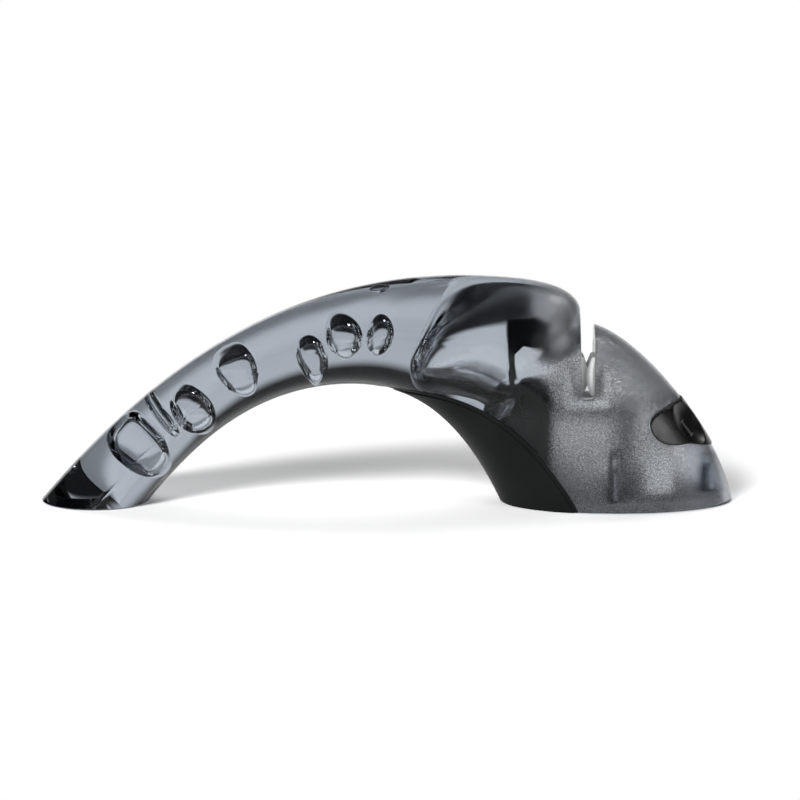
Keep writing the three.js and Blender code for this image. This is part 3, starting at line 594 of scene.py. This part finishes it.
nose_boss = Vector((NOSE_TIP - BOSS_SETBACK, 0, 0))
side_bosses = [Vector((SLOT_X + BOSS_SETBACK, side * SIDE_BOSS_Y, 0)) for side in (-1, 1)]
boss_tops = [(nose_boss, NOSE_BOSS_TOP)] + [(at, SIDE_BOSS_TOP) for at in side_bosses]
posts = []
for at, top in boss_tops:
    wall_y = math.copysign(HEAD_HALF, at.y)
    low = Vector((at.x - WEB / 2, min(at.y, wall_y), BOSS_FOOT))
    high = Vector((at.x + WEB / 2, max(at.y, wall_y), top))
    if at is nose_boss:
        low, high = Vector((at.x, -WEB / 2, BOSS_FOOT)), Vector((NOSE_TIP, WEB / 2, top))
    foot = Vector((at.x, at.y, BOSS_FOOT))
    post = rod("boss", foot, (at.x, at.y, top), BOSS_RADIUS, taper=BOSS_TAPER)
    carve(post, block("web", low, high), "UNION")
    carve(post, body_form("trim", CAVITY_ANGLE, 0, TRIM_STEPS, TRIM, TRIM_RING), "INTERSECT")
    bore_end = (at.x, at.y, BOSS_FOOT + BORE_DEPTH)
    carve(post, rod("bore", foot - Vector((0, 0, MM)), bore_end, BORE_RADIUS), "DIFFERENCE")
    posts.append(post)
for post in posts:
    finish_with(post, smoke)
    carve(body, post, "UNION")
carve(body, prism("seam", seam_outline(0), ACROSS), "DIFFERENCE")
carve(body, prism("slot", slot_outline(), ACROSS), "DIFFERENCE")
carve(body, prism("opening", button_outline(0), ACROSS), "DIFFERENCE")

# An oval recess under the tail takes its pad. It is a rod of radius 1, scaled to the oval.
PAD_HALF = (8.0 * MM, 9.2 * MM)
PAD_SEAT = 1.8 * MM
PAD_BELOW = 4 * MM
tail_middle = TAIL_TIP + 11.5 * MM
recess = rod("recess", (tail_middle, 0, -PAD_BELOW), (tail_middle, 0, RIM + PAD_SEAT), 1.0, RING)
to_middle = Matrix.Translation((tail_middle, 0, 0))
recess.data.transform(to_middle @ Matrix.Diagonal((*PAD_HALF, 1, 1)) @ to_middle.inverted())
carve(body, recess, "DIFFERENCE")

# Air trapped in the thick handle: smooth voids, from the tail to the crown. Each has its middle,
# its half sizes along, across and through the arch, its lean, and how square and how pear-shaped.
BUBBLES = (
    ((-76.6, -1.0, 17.5), (7.7, 6.8, 6.0), 49, 2.6, 0.05),
    ((-69.2, 1.0, 26.8), (2.3, 6.6, 7.0), 34, 2.4, 0.0),
    ((-60.4, -1.0, 29.6), (6.4, 5.2, 5.2), 38, 2.3, -0.1),
    ((-45.2, 0.5, 40.2), (6.0, 4.6, 3.8), 26, 2.6, 0.25),
    ((-23.2, -1.0, 46.6), (4.8, 5.3, 4.8), 22, 2.2, 0.05),
    ((-13.0, 0.0, 51.6), (5.9, 5.2, 5.4), 4, 2.05, 0.12),
    ((-1.9, -0.5, 52.6), (4.2, 5.4, 4.6), -25, 2.05, 0.05),
    ((-2.2, -4.0, 66.8), (3.1, 2.2, 1.7), 5, 2.0, 0.3),
)
BUBBLE_AROUND, BUBBLE_UP = 64, 40


def add_bubble(edit, mark_layer, middle, halves, lean, square, pear):
    """One void: a soft box or egg whose faces look inward, into the air."""
    power = 2 / square
    turn = Matrix.Rotation(-math.radians(lean), 3, "Y")
    rows = []
    for j in range(BUBBLE_UP + 1):
        tilt = math.pi * (j / BUBBLE_UP - 0.5)
        across = signed_power(math.sin(tilt), power)
        waist = signed_power(math.cos(tilt), power) * (1 + pear * across)
        row = []
        for i in range(BUBBLE_AROUND if 0 < j < BUBBLE_UP else 1):
            angle = math.tau * i / BUBBLE_AROUND
            along = signed_power(math.cos(angle), power) * waist
            through = signed_power(math.sin(angle), power) * waist
            local = Vector((along * halves[0], through * halves[2], across * halves[1]))
            row.append(edit.verts.new((Vector(middle) + turn @ local) * MM))
        rows.append(row)
    for j in range(BUBBLE_UP):
        for i in range(BUBBLE_AROUND):
            k = (i + 1) % BUBBLE_AROUND
            low, high = rows[j], rows[j + 1]
            if len(low) == 1:
                corners = (low[0], high[i], high[k])
            elif len(high) == 1:
                corners = (low[i], high[0], low[k])
            else:
                corners = (low[i], high[i], high[k], low[k])
            edit.faces.new(corners)[mark_layer] = 1.0


# Marks on the faces tell the material where the grained hollow and the bubbles are. Haze is how
# rough a face of the hollow is, most where it looks up.
FLANK_HAZE = 0.3
CREASE = math.radians(32)
inner_index = next(i for i, m in enumerate(body.data.materials) if m == inner_skin)
edit = bmesh.new()
edit.from_mesh(body.data)
grained = edit.faces.layers.float.new("grained")
hidden = edit.faces.layers.float.new("hidden")
haze = edit.faces.layers.float.new("haze")
for face in edit.faces:
    if face.material_index == inner_index:
        face[grained] = 1.0
        face[hidden] = 1.0
        face[haze] = FLANK_HAZE + (1 - FLANK_HAZE) * max(face.normal.z, 0)
    face.material_index = 0
for bubble in BUBBLES:
    add_bubble(edit, hidden, *bubble)
edit.to_mesh(body.data)
edit.free()
finish_with(body, smoke)
bpy.data.materials.remove(inner_skin)


def smooth(made, angle):
    """Smooth shading, with edges sharper than an angle left crisp."""
    made.data.polygons.foreach_set("use_smooth", [True] * len(made.data.polygons))
    made.data.set_sharp_from_angle(angle=angle)


smooth(body, CREASE)


def mottle_group():
    """Mottle at a given scale and contrast, as a mask from 0 to 1 that also serves as a height."""
    group = bpy.data.node_groups.new("mottle", "ShaderNodeTree")
    group.interface.new_socket("Scale", in_out="INPUT", socket_type="NodeSocketFloat")
    group.interface.new_socket("Contrast", in_out="INPUT", socket_type="NodeSocketFloat")
    group.interface.new_socket("Mask", in_out="OUTPUT", socket_type="NodeSocketFloat")
    inside = group.nodes.new("NodeGroupInput")
    outside = group.nodes.new("NodeGroupOutput")
    place = group.nodes.new("ShaderNodeTexCoord")
    noise = group.nodes.new("ShaderNodeTexNoise")
    noise.inputs["Detail"].default_value = 3
    group.links.new(place.outputs["Object"], noise.inputs["Vector"])
    group.links.new(inside.outputs["Scale"], noise.inputs["Scale"])
    centred = reckon(group, "SUBTRACT", noise.outputs["Fac"], 0.5)
    mask = reckon(group, "MULTIPLY_ADD", centred, inside.outputs["Contrast"], 0.5)
    mask.node.use_clamp = True
    group.links.new(mask, outside.inputs["Mask"])
    return group


mottle = mottle_group()


def add_mottle(tree, scale, contrast):
    """One use of the mottle in a material, at its own scale (per metre) and contrast."""
    use = tree.nodes.new("ShaderNodeGroup")
    use.node_tree = mottle
    use.inputs["Scale"].default_value = scale
    use.inputs["Contrast"].default_value = contrast
    return use.outputs["Mask"]


def blend(tree, factor, first, second, blend_type="MIX"):
    """A colour that runs from one to another by a factor."""
    mixed = tree.nodes.new("ShaderNodeMix")
    mixed.data_type = "RGBA"
    mixed.blend_type = blend_type
    drive(tree, factor, mixed.inputs["Factor"])
    drive(tree, first, mixed.inputs["A"])
    drive(tree, second, mixed.inputs["B"])
    return mixed.outputs["Result"]


def emboss(tree, height, strength, depth, shader):
    """Feeds a height into the shader's normal through a bump of a real depth."""
    bump = tree.nodes.new("ShaderNodeBump")
    bump.inputs["Strength"].default_value = strength
    bump.inputs["Distance"].default_value = depth
    tree.links.new(height, bump.inputs["Height"])
    tree.links.new(bump.outputs["Normal"], shader.inputs["Normal"])


def face_mark(name):
    """A mark of the body's faces, read back in its material."""
    node = smoke_tree.nodes.new("ShaderNodeAttribute")
    node.attribute_name = name
    return node.outputs["Fac"]


# The plastic is tinted where light enters and through its depth. The head's grain sets in over
# the seam and thins out toward the nose, on the hollow and, weaker, on the outer skin.
SMOKE_IOR = 1.49
SMOKE_GLINT = (0.4, 0.4, 0.4)
SMOKE_TINT, SMOKE_DENSITY = (0.2, 0.258, 0.333), 12.0
SKIN_TINT, HEAD_SKIN_TINT = (0.48, 0.515, 0.565), (0.8, 0.83, 0.87)
HIDDEN_TINT, GRAINED_TINT = (0.9, 0.91, 0.92), (1.0, 1.0, 1.0)
GRAIN_START, GRAIN_FULL = 40 * MM, 56 * MM
GRAIN_FADE, GRAIN_END, GRAIN_LEFT = 82 * MM, 100 * MM, 0.25
GRAIN_SCALE, GRAIN_CONTRAST, GRAIN_DEPTH = 2800, 2.6, 0.06 * MM
SKIN_GRAIN, HAZE_WEIGHT = 0.6, 4.0
POLISHED, ROUGH_PER_GRAIN = 0.012, 0.09
SPECKLE_SCALE, SPECKLE_CONTRAST, SPECKLE_TINT = 2300, 5.0, (0.4, 0.4, 0.4)
drive(smoke_tree, SMOKE_IOR, smoke_shader.inputs["IOR"])
drive(smoke_tree, SMOKE_GLINT, smoke_shader.inputs["Specular Tint"])
drive(smoke_tree, 1.0, smoke_shader.inputs["Transmission Weight"])
absorb = smoke_tree.nodes.new("ShaderNodeVolumeAbsorption")
drive(smoke_tree, SMOKE_TINT, absorb.inputs["Color"])
drive(smoke_tree, SMOKE_DENSITY, absorb.inputs["Density"])
smoke_tree.links.new(absorb.outputs["Volume"], smoke_tree.nodes["Material Output"].inputs["Volume"])

along_body = place_along(smoke_tree, "X")
onset = run_between(smoke_tree, along_body, GRAIN_START, GRAIN_FULL)
fade = run_between(smoke_tree, along_body, GRAIN_FADE, GRAIN_END, 1.0, GRAIN_LEFT)
band = reckon(smoke_tree, "MULTIPLY", onset, fade)
grain_mask = reckon(smoke_tree, "MULTIPLY", band, face_mark("grained"))
grain_both = reckon(smoke_tree, "MULTIPLY_ADD", band, SKIN_GRAIN, grain_mask)
hazed = reckon(smoke_tree, "MULTIPLY_ADD", face_mark("haze"), HAZE_WEIGHT, grain_both)
rough = reckon(smoke_tree, "MULTIPLY_ADD", hazed, ROUGH_PER_GRAIN, POLISHED)
drive(smoke_tree, rough, smoke_shader.inputs["Roughness"])
grain = add_mottle(smoke_tree, GRAIN_SCALE, GRAIN_CONTRAST)
emboss(smoke_tree, reckon(smoke_tree, "MULTIPLY", grain, grain_both), 1.0, GRAIN_DEPTH, smoke_shader)

hidden_mark = face_mark("hidden")
skin = blend(smoke_tree, band, SKIN_TINT, HEAD_SKIN_TINT)
skin = blend(smoke_tree, hidden_mark, skin, HIDDEN_TINT)
skin = blend(smoke_tree, grain_mask, skin, GRAINED_TINT)
speckle = reckon(smoke_tree, "MULTIPLY", add_mottle(smoke_tree, SPECKLE_SCALE, SPECKLE_CONTRAST), band)
skin = blend(smoke_tree, speckle, skin, SPECKLE_TINT, "MULTIPLY")
drive(smoke_tree, skin, smoke_shader.inputs["Base Color"])

# The lamps reach the inside straight through the skin, which holds back more of their light in
# the thick handle than in the head. Inner faces hold back none.
LAMP_TINT, HEAD_LAMP_TINT, NO_TINT = (0.18, 0.186, 0.195), (0.6, 0.61, 0.63), (1, 1, 1)
lamp_through = smoke_tree.nodes.new("ShaderNodeBsdfTransparent")
lamp_colour = blend(smoke_tree, onset, LAMP_TINT, HEAD_LAMP_TINT)
lamp_colour = blend(smoke_tree, hidden_mark, lamp_colour, NO_TINT)
drive(smoke_tree, lamp_colour, lamp_through.inputs["Color"])
from_lamp = smoke_tree.nodes.new("ShaderNodeLightPath").outputs["Is Shadow Ray"]
show_either(smoke_tree, from_lamp, smoke_shader.outputs["BSDF"], lamp_through.outputs["BSDF"])

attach(body, "housing")
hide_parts("body_shell")


# The cover closes the arch side of the head: a black moulding with a satin face. A web inside
# carries the rear bearing of the see-saw, and one screw from below holds it to the base plate.
SATIN_DARK, SATIN_LIGHT = (0.0045, 0.005, 0.005), (0.0085, 0.009, 0.009)


def mottled(name, colours, grain, roughness, relief=None, patches=None, ripple=None, glint=0.5, metal=0.0):
    """A finish whose colour, roughness and relief are mottled. Grain, patches and ripple are each a
    scale per metre and a contrast; relief is a strength and a depth. The colour follows the patches
    and the relief follows the ripple where these are given; all else follows the grain."""
    material, tree, shader = new_material(name)
    grain_mask = add_mottle(tree, *grain)
    colour_mask = add_mottle(tree, *patches) if patches else grain_mask
    drive(tree, blend(tree, colour_mask, *colours), shader.inputs["Base Color"])
    rough = run_between(tree, grain_mask, 0.0, 1.0, *roughness, way="LINEAR")
    drive(tree, rough, shader.inputs["Roughness"])
    drive(tree, glint, shader.inputs["Specular IOR Level"])
    drive(tree, metal, shader.inputs["Metallic"])
    if relief:
        height = add_mottle(tree, *ripple) if ripple else grain_mask
        emboss(tree, height, *relief, shader)
    return material


satin = mottled(
    "black_satin", (SATIN_DARK, SATIN_LIGHT), patches=(60, 1.8), grain=(5200, 1.6),
    roughness=(0.38, 0.52), relief=(0.04, 0.02 * MM), glint=0.07,
)

GAP = 0.3 * MM
COVER_ANGLE, COVER_STEPS = math.radians(100), 120
cover = body_form("inner_cover_satin", COVER_ANGLE, 0, COVER_STEPS, 0, RING)
carve(cover, hollow_form("hollow"), "DIFFERENCE")
carve(cover, prism("seam", seam_outline(GAP), ACROSS), "INTERSECT")

# A shallow lip runs along the seam, cut into the face of the cover.
LIP_WIDTH, LIP_DEPTH = 1.5 * MM, 0.3 * MM
LIP_OVER, LIP_DROP = 1 * MM, 5 * MM
CORE_ANGLE, CORE_STEPS, CORE_DROP = math.radians(110), 130, 6 * MM
lip = body_form("lip", COVER_ANGLE, 0, COVER_STEPS, -LIP_OVER, RING, drop=LIP_DROP)
core = body_form("core", CORE_ANGLE, 0, CORE_STEPS, LIP_DEPTH, RING, drop=CORE_DROP)
carve(lip, core, "DIFFERENCE")
carve(lip, prism("seam", seam_outline(GAP + LIP_WIDTH), ACROSS), "DIFFERENCE")
carve(cover, lip, "DIFFERENCE")

# The bearing block stands on the web, with round shoulders, a seat for the shaft and a screw bore.
BLOCK_END = SLOT_X - 10 * MM
BLOCK_START = BLOCK_END - 12 * MM
BLOCK_HALF = 5 * MM
BLOCK_CORNER, BLOCK_CORNER_STEPS = 4 * MM, 10
PIVOT_Z = ROLL_Z - 11.4 * MM
BLOCK_TOP = PIVOT_Z + 9 * MM
WEB_BACK, WEB_TOP = HEAD_BACK - 4 * MM, 16 * MM
SEAT_RADIUS, SEAT_DEPTH = 1.7 * MM, 5 * MM
COVER_SCREW_X, COVER_BORE_DEPTH = BLOCK_END - 4 * MM, 9 * MM
arc_z = BLOCK_TOP - BLOCK_CORNER
quarter = [math.pi / 2 * i / BLOCK_CORNER_STEPS for i in range(BLOCK_CORNER_STEPS + 1)]
arc = [(BLOCK_CORNER * math.cos(t), BLOCK_CORNER * math.sin(t)) for t in quarter]
shoulders = [(BLOCK_END - BLOCK_CORNER + x, arc_z + z) for x, z in arc]
shoulders += [(BLOCK_START + BLOCK_CORNER - z, arc_z + x) for x, z in arc]
bearing = prism("bearing", [(BLOCK_START, BOSS_FOOT), (BLOCK_END, BOSS_FOOT)] + shoulders, BLOCK_HALF)
web = block("web", (WEB_BACK, -WEB, BOSS_FOOT), (COVER_SCREW_X, WEB, WEB_TOP))
carve(bearing, web, "UNION")
carve(bearing, body_form("trim", CAVITY_ANGLE, 0, TRIM_STEPS, TRIM, TRIM_RING), "INTERSECT")
shaft_seat = ((BLOCK_END - SEAT_DEPTH, 0, PIVOT_Z), (BLOCK_END + MM, 0, PIVOT_Z))
carve(bearing, rod("seat", *shaft_seat, SEAT_RADIUS), "DIFFERENCE")
bore_start = (COVER_SCREW_X, 0, BOSS_FOOT - MM)
bore_end = (COVER_SCREW_X, 0, BOSS_FOOT + COVER_BORE_DEPTH)
carve(bearing, rod("bore", bore_start, bore_end, BORE_RADIUS), "DIFFERENCE")

# Behind the block stands a tab, and from its top an arm runs under the ceiling to the slot.
TAB_BACK = BLOCK_START - 2.6 * MM
TAB_FOOT = PIVOT_Z - 4.5 * MM
TAB_TOP = HEIGHT - 11.3 * MM
TAB_HALF = 7 * MM
TAB_THICK, TAB_THIN = TAB_BACK + 4 * MM, TAB_BACK + 2 * MM
STEP_FOOT, STEP_TOP = TAB_FOOT + 8 * MM, TAB_FOOT + 10 * MM
ARM_ROOT = TAB_TOP - 9 * MM
ARM_FOOT = ARM_ROOT - 6 * MM
ARM_LAP = ARM_ROOT - 5 * MM
ARM_END = SLOT_X - SLOT_TOP - 3.2 * MM
tab_line = [(TAB_BACK, TAB_FOOT), (TAB_THICK, TAB_FOOT), (TAB_THICK, STEP_FOOT), (TAB_THIN, STEP_TOP)]
tab_line += [(TAB_THIN, ARM_LAP), (TAB_BACK, ARM_LAP)]
arm_line = [(TAB_BACK, ARM_FOOT), (TAB_THIN, ARM_FOOT), (TAB_THIN, ARM_ROOT - 3 * MM)]
arm_line += [(TAB_BACK + 5 * MM, ARM_ROOT), (ARM_END, TAB_TOP - 12 * MM), (ARM_END, TAB_TOP - 5.5 * MM)]
arm_line += [(TAB_BACK + 9 * MM, TAB_TOP), (TAB_BACK, TAB_TOP)]
arm = prism("arm", arm_line, TAB_HALF)
carve(arm, hollow_form("hollow", GAP), "INTERSECT")
carve(bearing, prism("tab", tab_line, TAB_HALF), "UNION")
carve(bearing, arm, "UNION")
carve(cover, bearing, "UNION")
finish_with(cover, satin)
smooth(cover, CREASE)
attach(cover, "housing")
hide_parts("inner_cover")


# The base plate closes the head from below and carries the front bearing and the slide's rails.
# It is a matt grey moulding, held by screws that come up into the shell and the cover.
GREY_DARK, GREY_LIGHT = (0.14, 0.143, 0.147), (0.2, 0.204, 0.208)
grey = mottled(
    "grey_plastic", (GREY_DARK, GREY_LIGHT), patches=(90, 1.6), grain=(3800, 1.6),
    roughness=(0.42, 0.58), relief=(0.3, 0.03 * MM),
)
finish_with(nodes["base_plate"], grey)


# Five pads keep the sharpener from sliding: one under the tail and four under the head.
# They are black rubber, matt and a little mottled, and sit in recesses of the shell and the plate.
RUBBER_DARK, RUBBER_LIGHT = (0.006, 0.006, 0.0065), (0.014, 0.014, 0.0145)
rubber = mottled(
    "rubber", (RUBBER_DARK, RUBBER_LIGHT), grain=(2600, 1.8),
    roughness=(0.7, 0.9), relief=(0.5, 0.05 * MM),
)
for name in ["tail_pad"] + [f"head_pad_{i}" for i in range(1, 5)]:
    finish_with(nodes[name], rubber)


# The screws, the see-saw's shaft with its clip, the leaf spring and the axles of the rolls are
# plain steel, turned or bent, with fine marks of the tool.
STEEL_DARK, STEEL_LIGHT = (0.42, 0.43, 0.45), (0.6, 0.61, 0.62)
steel = mottled(
    "steel", (STEEL_DARK, STEEL_LIGHT), grain=(1500, 2.0),
    roughness=(0.22, 0.42), relief=(0.15, 0.02 * MM), metal=1.0,
)
steel_names = [f"base_screw_{i}" for i in range(1, 5)]
steel_names += ["pivot_shaft", "shaft_clip", "detent_spring", "spring_screw", "button_screw"]
for name in steel_names + ["coarse_axle", "fine_axle"]:
    finish_with(nodes[name], steel)


# The see-saw cradle and the slide that drives it are pale moulded pieces inside the head.
# The cradle rocks on the steel shaft; the slide's finger sits in the fork of its lever.
PALE_DARK, PALE_LIGHT = (0.58, 0.59, 0.59), (0.74, 0.75, 0.75)
pale = mottled(
    "pale_plastic", (PALE_DARK, PALE_LIGHT), patches=(110, 1.6), grain=(3600, 1.5),
    roughness=(0.4, 0.55), relief=(0.25, 0.03 * MM),
)
for name in ("roll_cradle", "selector_slide"):
    finish_with(nodes[name], pale)


# Each V-roll is two sintered ceramic discs, bevelled face to face on a steel axle.
# The near roll is the coarse one and paler; the far one is finer and greyer.
CERAMIC_GREYS = {
    "coarse": ((0.52, 0.52, 0.51), (0.72, 0.72, 0.7)),
    "fine": ((0.2, 0.2, 0.2), (0.34, 0.34, 0.34)),
}
ROOT_RADIUS = 2.6 * MM
RIM_LAND = 1.1 * MM
DISC_BORE = 1.4 * MM
DISC_GAP = 0.1 * MM
BEVEL = (ROLL_RADIUS - ROOT_RADIUS) * math.tan(math.radians(22))
BEVEL_END = DISC_GAP + BEVEL
LAND_END = BEVEL_END + RIM_LAND
DISC_END = LAND_END + 0.3 * MM
DISC_PROFILE = (
    (DISC_BORE, DISC_GAP),
    (ROOT_RADIUS, DISC_GAP),
    (ROLL_RADIUS - 0.22 * MM, BEVEL_END - 0.02 * MM),
    (ROLL_RADIUS - 0.06 * MM, BEVEL_END + 0.1 * MM),
    (ROLL_RADIUS, BEVEL_END + 0.26 * MM),
    (ROLL_RADIUS, LAND_END - 0.1 * MM),
    (ROLL_RADIUS - 0.15 * MM, LAND_END + 0.18 * MM),
    (ROLL_RADIUS - 0.45 * MM, DISC_END),
    (DISC_BORE, DISC_END),
)
DISC_SIDES = 96
DISC_CREASE = math.radians(50)


def roll_disc(name, joint, side, material):
    """One disc, turned about the roll's axle, with its bevel toward the middle of the roll."""
    centre = Vector(joint["pos_m"])
    axle = Vector(joint["axis"]).normalized()
    turn = axle.to_track_quat("Z", "Y").to_matrix()
    points, faces = [], []
    count = len(DISC_PROFILE)
    for i in range(DISC_SIDES):
        angle = math.tau * i / DISC_SIDES
        for radius, along in DISC_PROFILE:
            local = Vector((radius * math.cos(angle), radius * math.sin(angle), side * along))
            points.append(centre + turn @ local)
    for i in range(DISC_SIDES):
        j = (i + 1) % DISC_SIDES
        for k in range(count):
            m = (k + 1) % count
            faces.append((i * count + k, i * count + m, j * count + m, j * count + k))
    made = mesh_object(name, points, faces)
    face_out(made.data)
    made.data.materials.append(material)
    smooth(made, DISC_CREASE)
    return made


for grade, greys in CERAMIC_GREYS.items():
    ceramic = mottled(
        f"{grade}_ceramic", greys, grain=(2400, 2.6),
        roughness=(0.42, 0.62), relief=(0.35, 0.03 * MM),
    )
    for place, side in (("back", -1), ("front", 1)):
        disc = roll_disc(f"{grade}_{place}_disc", joints[f"{grade}_roll_spin"], side, ceramic)
        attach(disc, f"{grade}_roll")
        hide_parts(f"{grade}_disc_{place}")


# The selector is a gloss black cap round the nose, with a hollow for the thumb on each side.
# It is screwed to the slide and pushed across to choose the roll.
GLOSS_DARK, GLOSS_LIGHT = (0.0025, 0.0026, 0.0026), (0.005, 0.005, 0.0052)
gloss = mottled(
    "black_gloss", (GLOSS_DARK, GLOSS_LIGHT), grain=(260, 2.0), ripple=(900, 1.2),
    roughness=(0.24, 0.32), relief=(0.08, 0.02 * MM), glint=0.28,
)

TRAVEL = 3 * MM
BUTTON_PROUD = 0.5 * MM
BUTTON_WALL = 5 * MM
CAP_ANGLE, CAP_STEPS, CAP_RING = math.radians(40), 90, 120
INSIDE_ANGLE = math.radians(50)
SCREW_LINE = BUTTON_FOOT + 5 * MM
SLIDE_END = SLOT_X + 26.2 * MM
STUD_HALF_WIDTH, STUD_HALF_HEIGHT = 5 * MM, 3 * MM
button = body_form("selector_button_gloss", CAP_ANGLE, 0, CAP_STEPS, -BUTTON_PROUD, CAP_RING)
inside = body_form("inside", INSIDE_ANGLE, 0, TRIM_STEPS, BUTTON_WALL - BUTTON_PROUD, TRIM_RING)
carve(button, inside, "DIFFERENCE")
stud_low = (SLIDE_END + GAP, -STUD_HALF_WIDTH, SCREW_LINE - STUD_HALF_HEIGHT)
stud_high = (NOSE_TIP, STUD_HALF_WIDTH, SCREW_LINE + STUD_HALF_HEIGHT)
stud = block("stud", stud_low, stud_high)
carve(stud, body_form("trim", CAP_ANGLE, 0, TRIM_STEPS, 0, TRIM_RING), "INTERSECT")
carve(button, stud, "UNION")
carve(button, prism("outline", button_outline(GAP), ACROSS), "INTERSECT")

# A ball cuts each thumb hollow. Then all edges are melted round, as a moulded cap has them.
DISH_RADIUS = 15 * MM
DISH_DEPTH = 1 * MM
DISH_SETBACK = 15.5 * MM
DISH_SPREAD = 7.2 * MM
DISH_HEIGHT = BUTTON_MIDDLE + 0.3 * MM
DISH_FACE = (0.8, 0.44, 0.41)
BALL_AROUND, BALL_UP = 120, 80
MELT_GRID, SOFTEN_SHARE, SOFTEN_TIMES = 0.22 * MM, 0.5, 8
BUTTON_CREASE = math.radians(60)
dishes = {}
for side in (-1, 1):
    face = Vector((DISH_FACE[0], DISH_FACE[1] * side, DISH_FACE[2])).normalized()
    middle = Vector((NOSE_TIP - DISH_SETBACK, DISH_SPREAD * side, DISH_HEIGHT))
    middle += face * (DISH_RADIUS - DISH_DEPTH)
    dishes[side] = (face, middle)
    ball = bmesh.new()
    at_middle = Matrix.Translation(middle)
    segments = {"u_segments": BALL_AROUND, "v_segments": BALL_UP}
    bmesh.ops.create_uvsphere(ball, radius=DISH_RADIUS, matrix=at_middle, **segments)
    carve(button, object_from("thumb", ball), "DIFFERENCE")
melt = button.modifiers.new("melt", "REMESH")
melt.mode = "VOXEL"
melt.voxel_size = MELT_GRID
soften = button.modifiers.new("soften", "SMOOTH")
soften.factor = SOFTEN_SHARE
soften.iterations = SOFTEN_TIMES
graph = bpy.context.evaluated_depsgraph_get()
button.data = bpy.data.meshes.new_from_object(button.evaluated_get(graph))
button.modifiers.clear()
button.data.transform(Matrix.Translation((0, -TRAVEL / 2, 0)))
finish_with(button, gloss)
smooth(button, BUTTON_CREASE)
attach(button, "selector")
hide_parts("selector_button")


# Each thumb hollow carries a raised mark, moulded with the cap: one bar with serifs on the near
# side for the first stage, two on the far side for the second. The mark's finish is rougher than
# the cap's, and its grey, lighter than the cap's black, is painted sheen for the light its raised edges
# catch.
MARK_SHEEN_DARK, MARK_SHEEN_LIGHT = (0.028, 0.028, 0.029), (0.045, 0.045, 0.046)
MARK_LENGTH, MARK_STROKE, MARK_SERIF = 5.6 * MM, 0.8 * MM, 2.1 * MM
SERIF_HEIGHT, SERIF_SLOPE = 0.6 * MM, 0.2 * MM
MARK_RISE, MARK_ROOT, MARK_BEVEL = 0.16 * MM, 0.1 * MM, 0.12 * MM
MARK_DROP = 2.6 * MM
MARK_RUN = (0.54, 0, -0.84)
MARK_APART = 1.3 * MM
# The mark's lighter grey is painted sheen: it stands in for the light that its raised edges catch.
mark_sheen_finish = mottled("black_matt_painted_sheen", (MARK_SHEEN_DARK, MARK_SHEEN_LIGHT), grain=(3000, 1.8), roughness=(0.45, 0.6))


def raised_bar(name, face, across):
    """A bar with serifs that stands up from a thumb hollow, bent to its sphere."""
    end, stem, foot = MARK_LENGTH / 2, MARK_STROKE / 2, MARK_SERIF / 2
    neck = end - SERIF_HEIGHT
    half = [(foot, -end), (foot, -neck - SERIF_SLOPE), (stem, -neck)]
    half += [(stem, neck), (foot, neck + SERIF_SLOPE), (foot, end)]
    outline = half + [(-u, v) for u, v in reversed(half)]
    along = Vector(MARK_RUN)
    along = (along - face * along.dot(face)).normalized()
    side = face.cross(along)
    points = []
    for depth, inset in ((MARK_ROOT, 0), (-MARK_RISE * 0.5, 0), (-MARK_RISE, MARK_BEVEL)):
        for u, v in outline:
            u = across + u - math.copysign(inset, u)
            v = MARK_DROP + v - math.copysign(inset, v)
            out = math.sqrt((DISH_RADIUS + depth) ** 2 - u * u - v * v)
            points.append(side * u + along * v - face * out)
    count = len(outline)
    faces = [tuple(range(count)), tuple(range(2 * count, 3 * count))]
    for k in (0, count):
        for i in range(count):
            j = (i + 1) % count
            faces.append((k + i, k + j, k + count + j, k + count + i))
    made = mesh_object(name, points, faces)
    face_out(made.data)
    return made


for name, side, places in (("mark_one", -1, (0,)), ("mark_two", 1, (-MARK_APART, MARK_APART))):
    face, middle = dishes[side]
    for i, across in enumerate(places):
        bar = raised_bar(f"{name}_{i + 1}", face, across)
        bar.data.transform(Matrix.Translation(middle - Vector((0, TRAVEL / 2, 0))))
        bar.data.materials.append(mark_sheen_finish)
        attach(bar, "selector")


low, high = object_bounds()
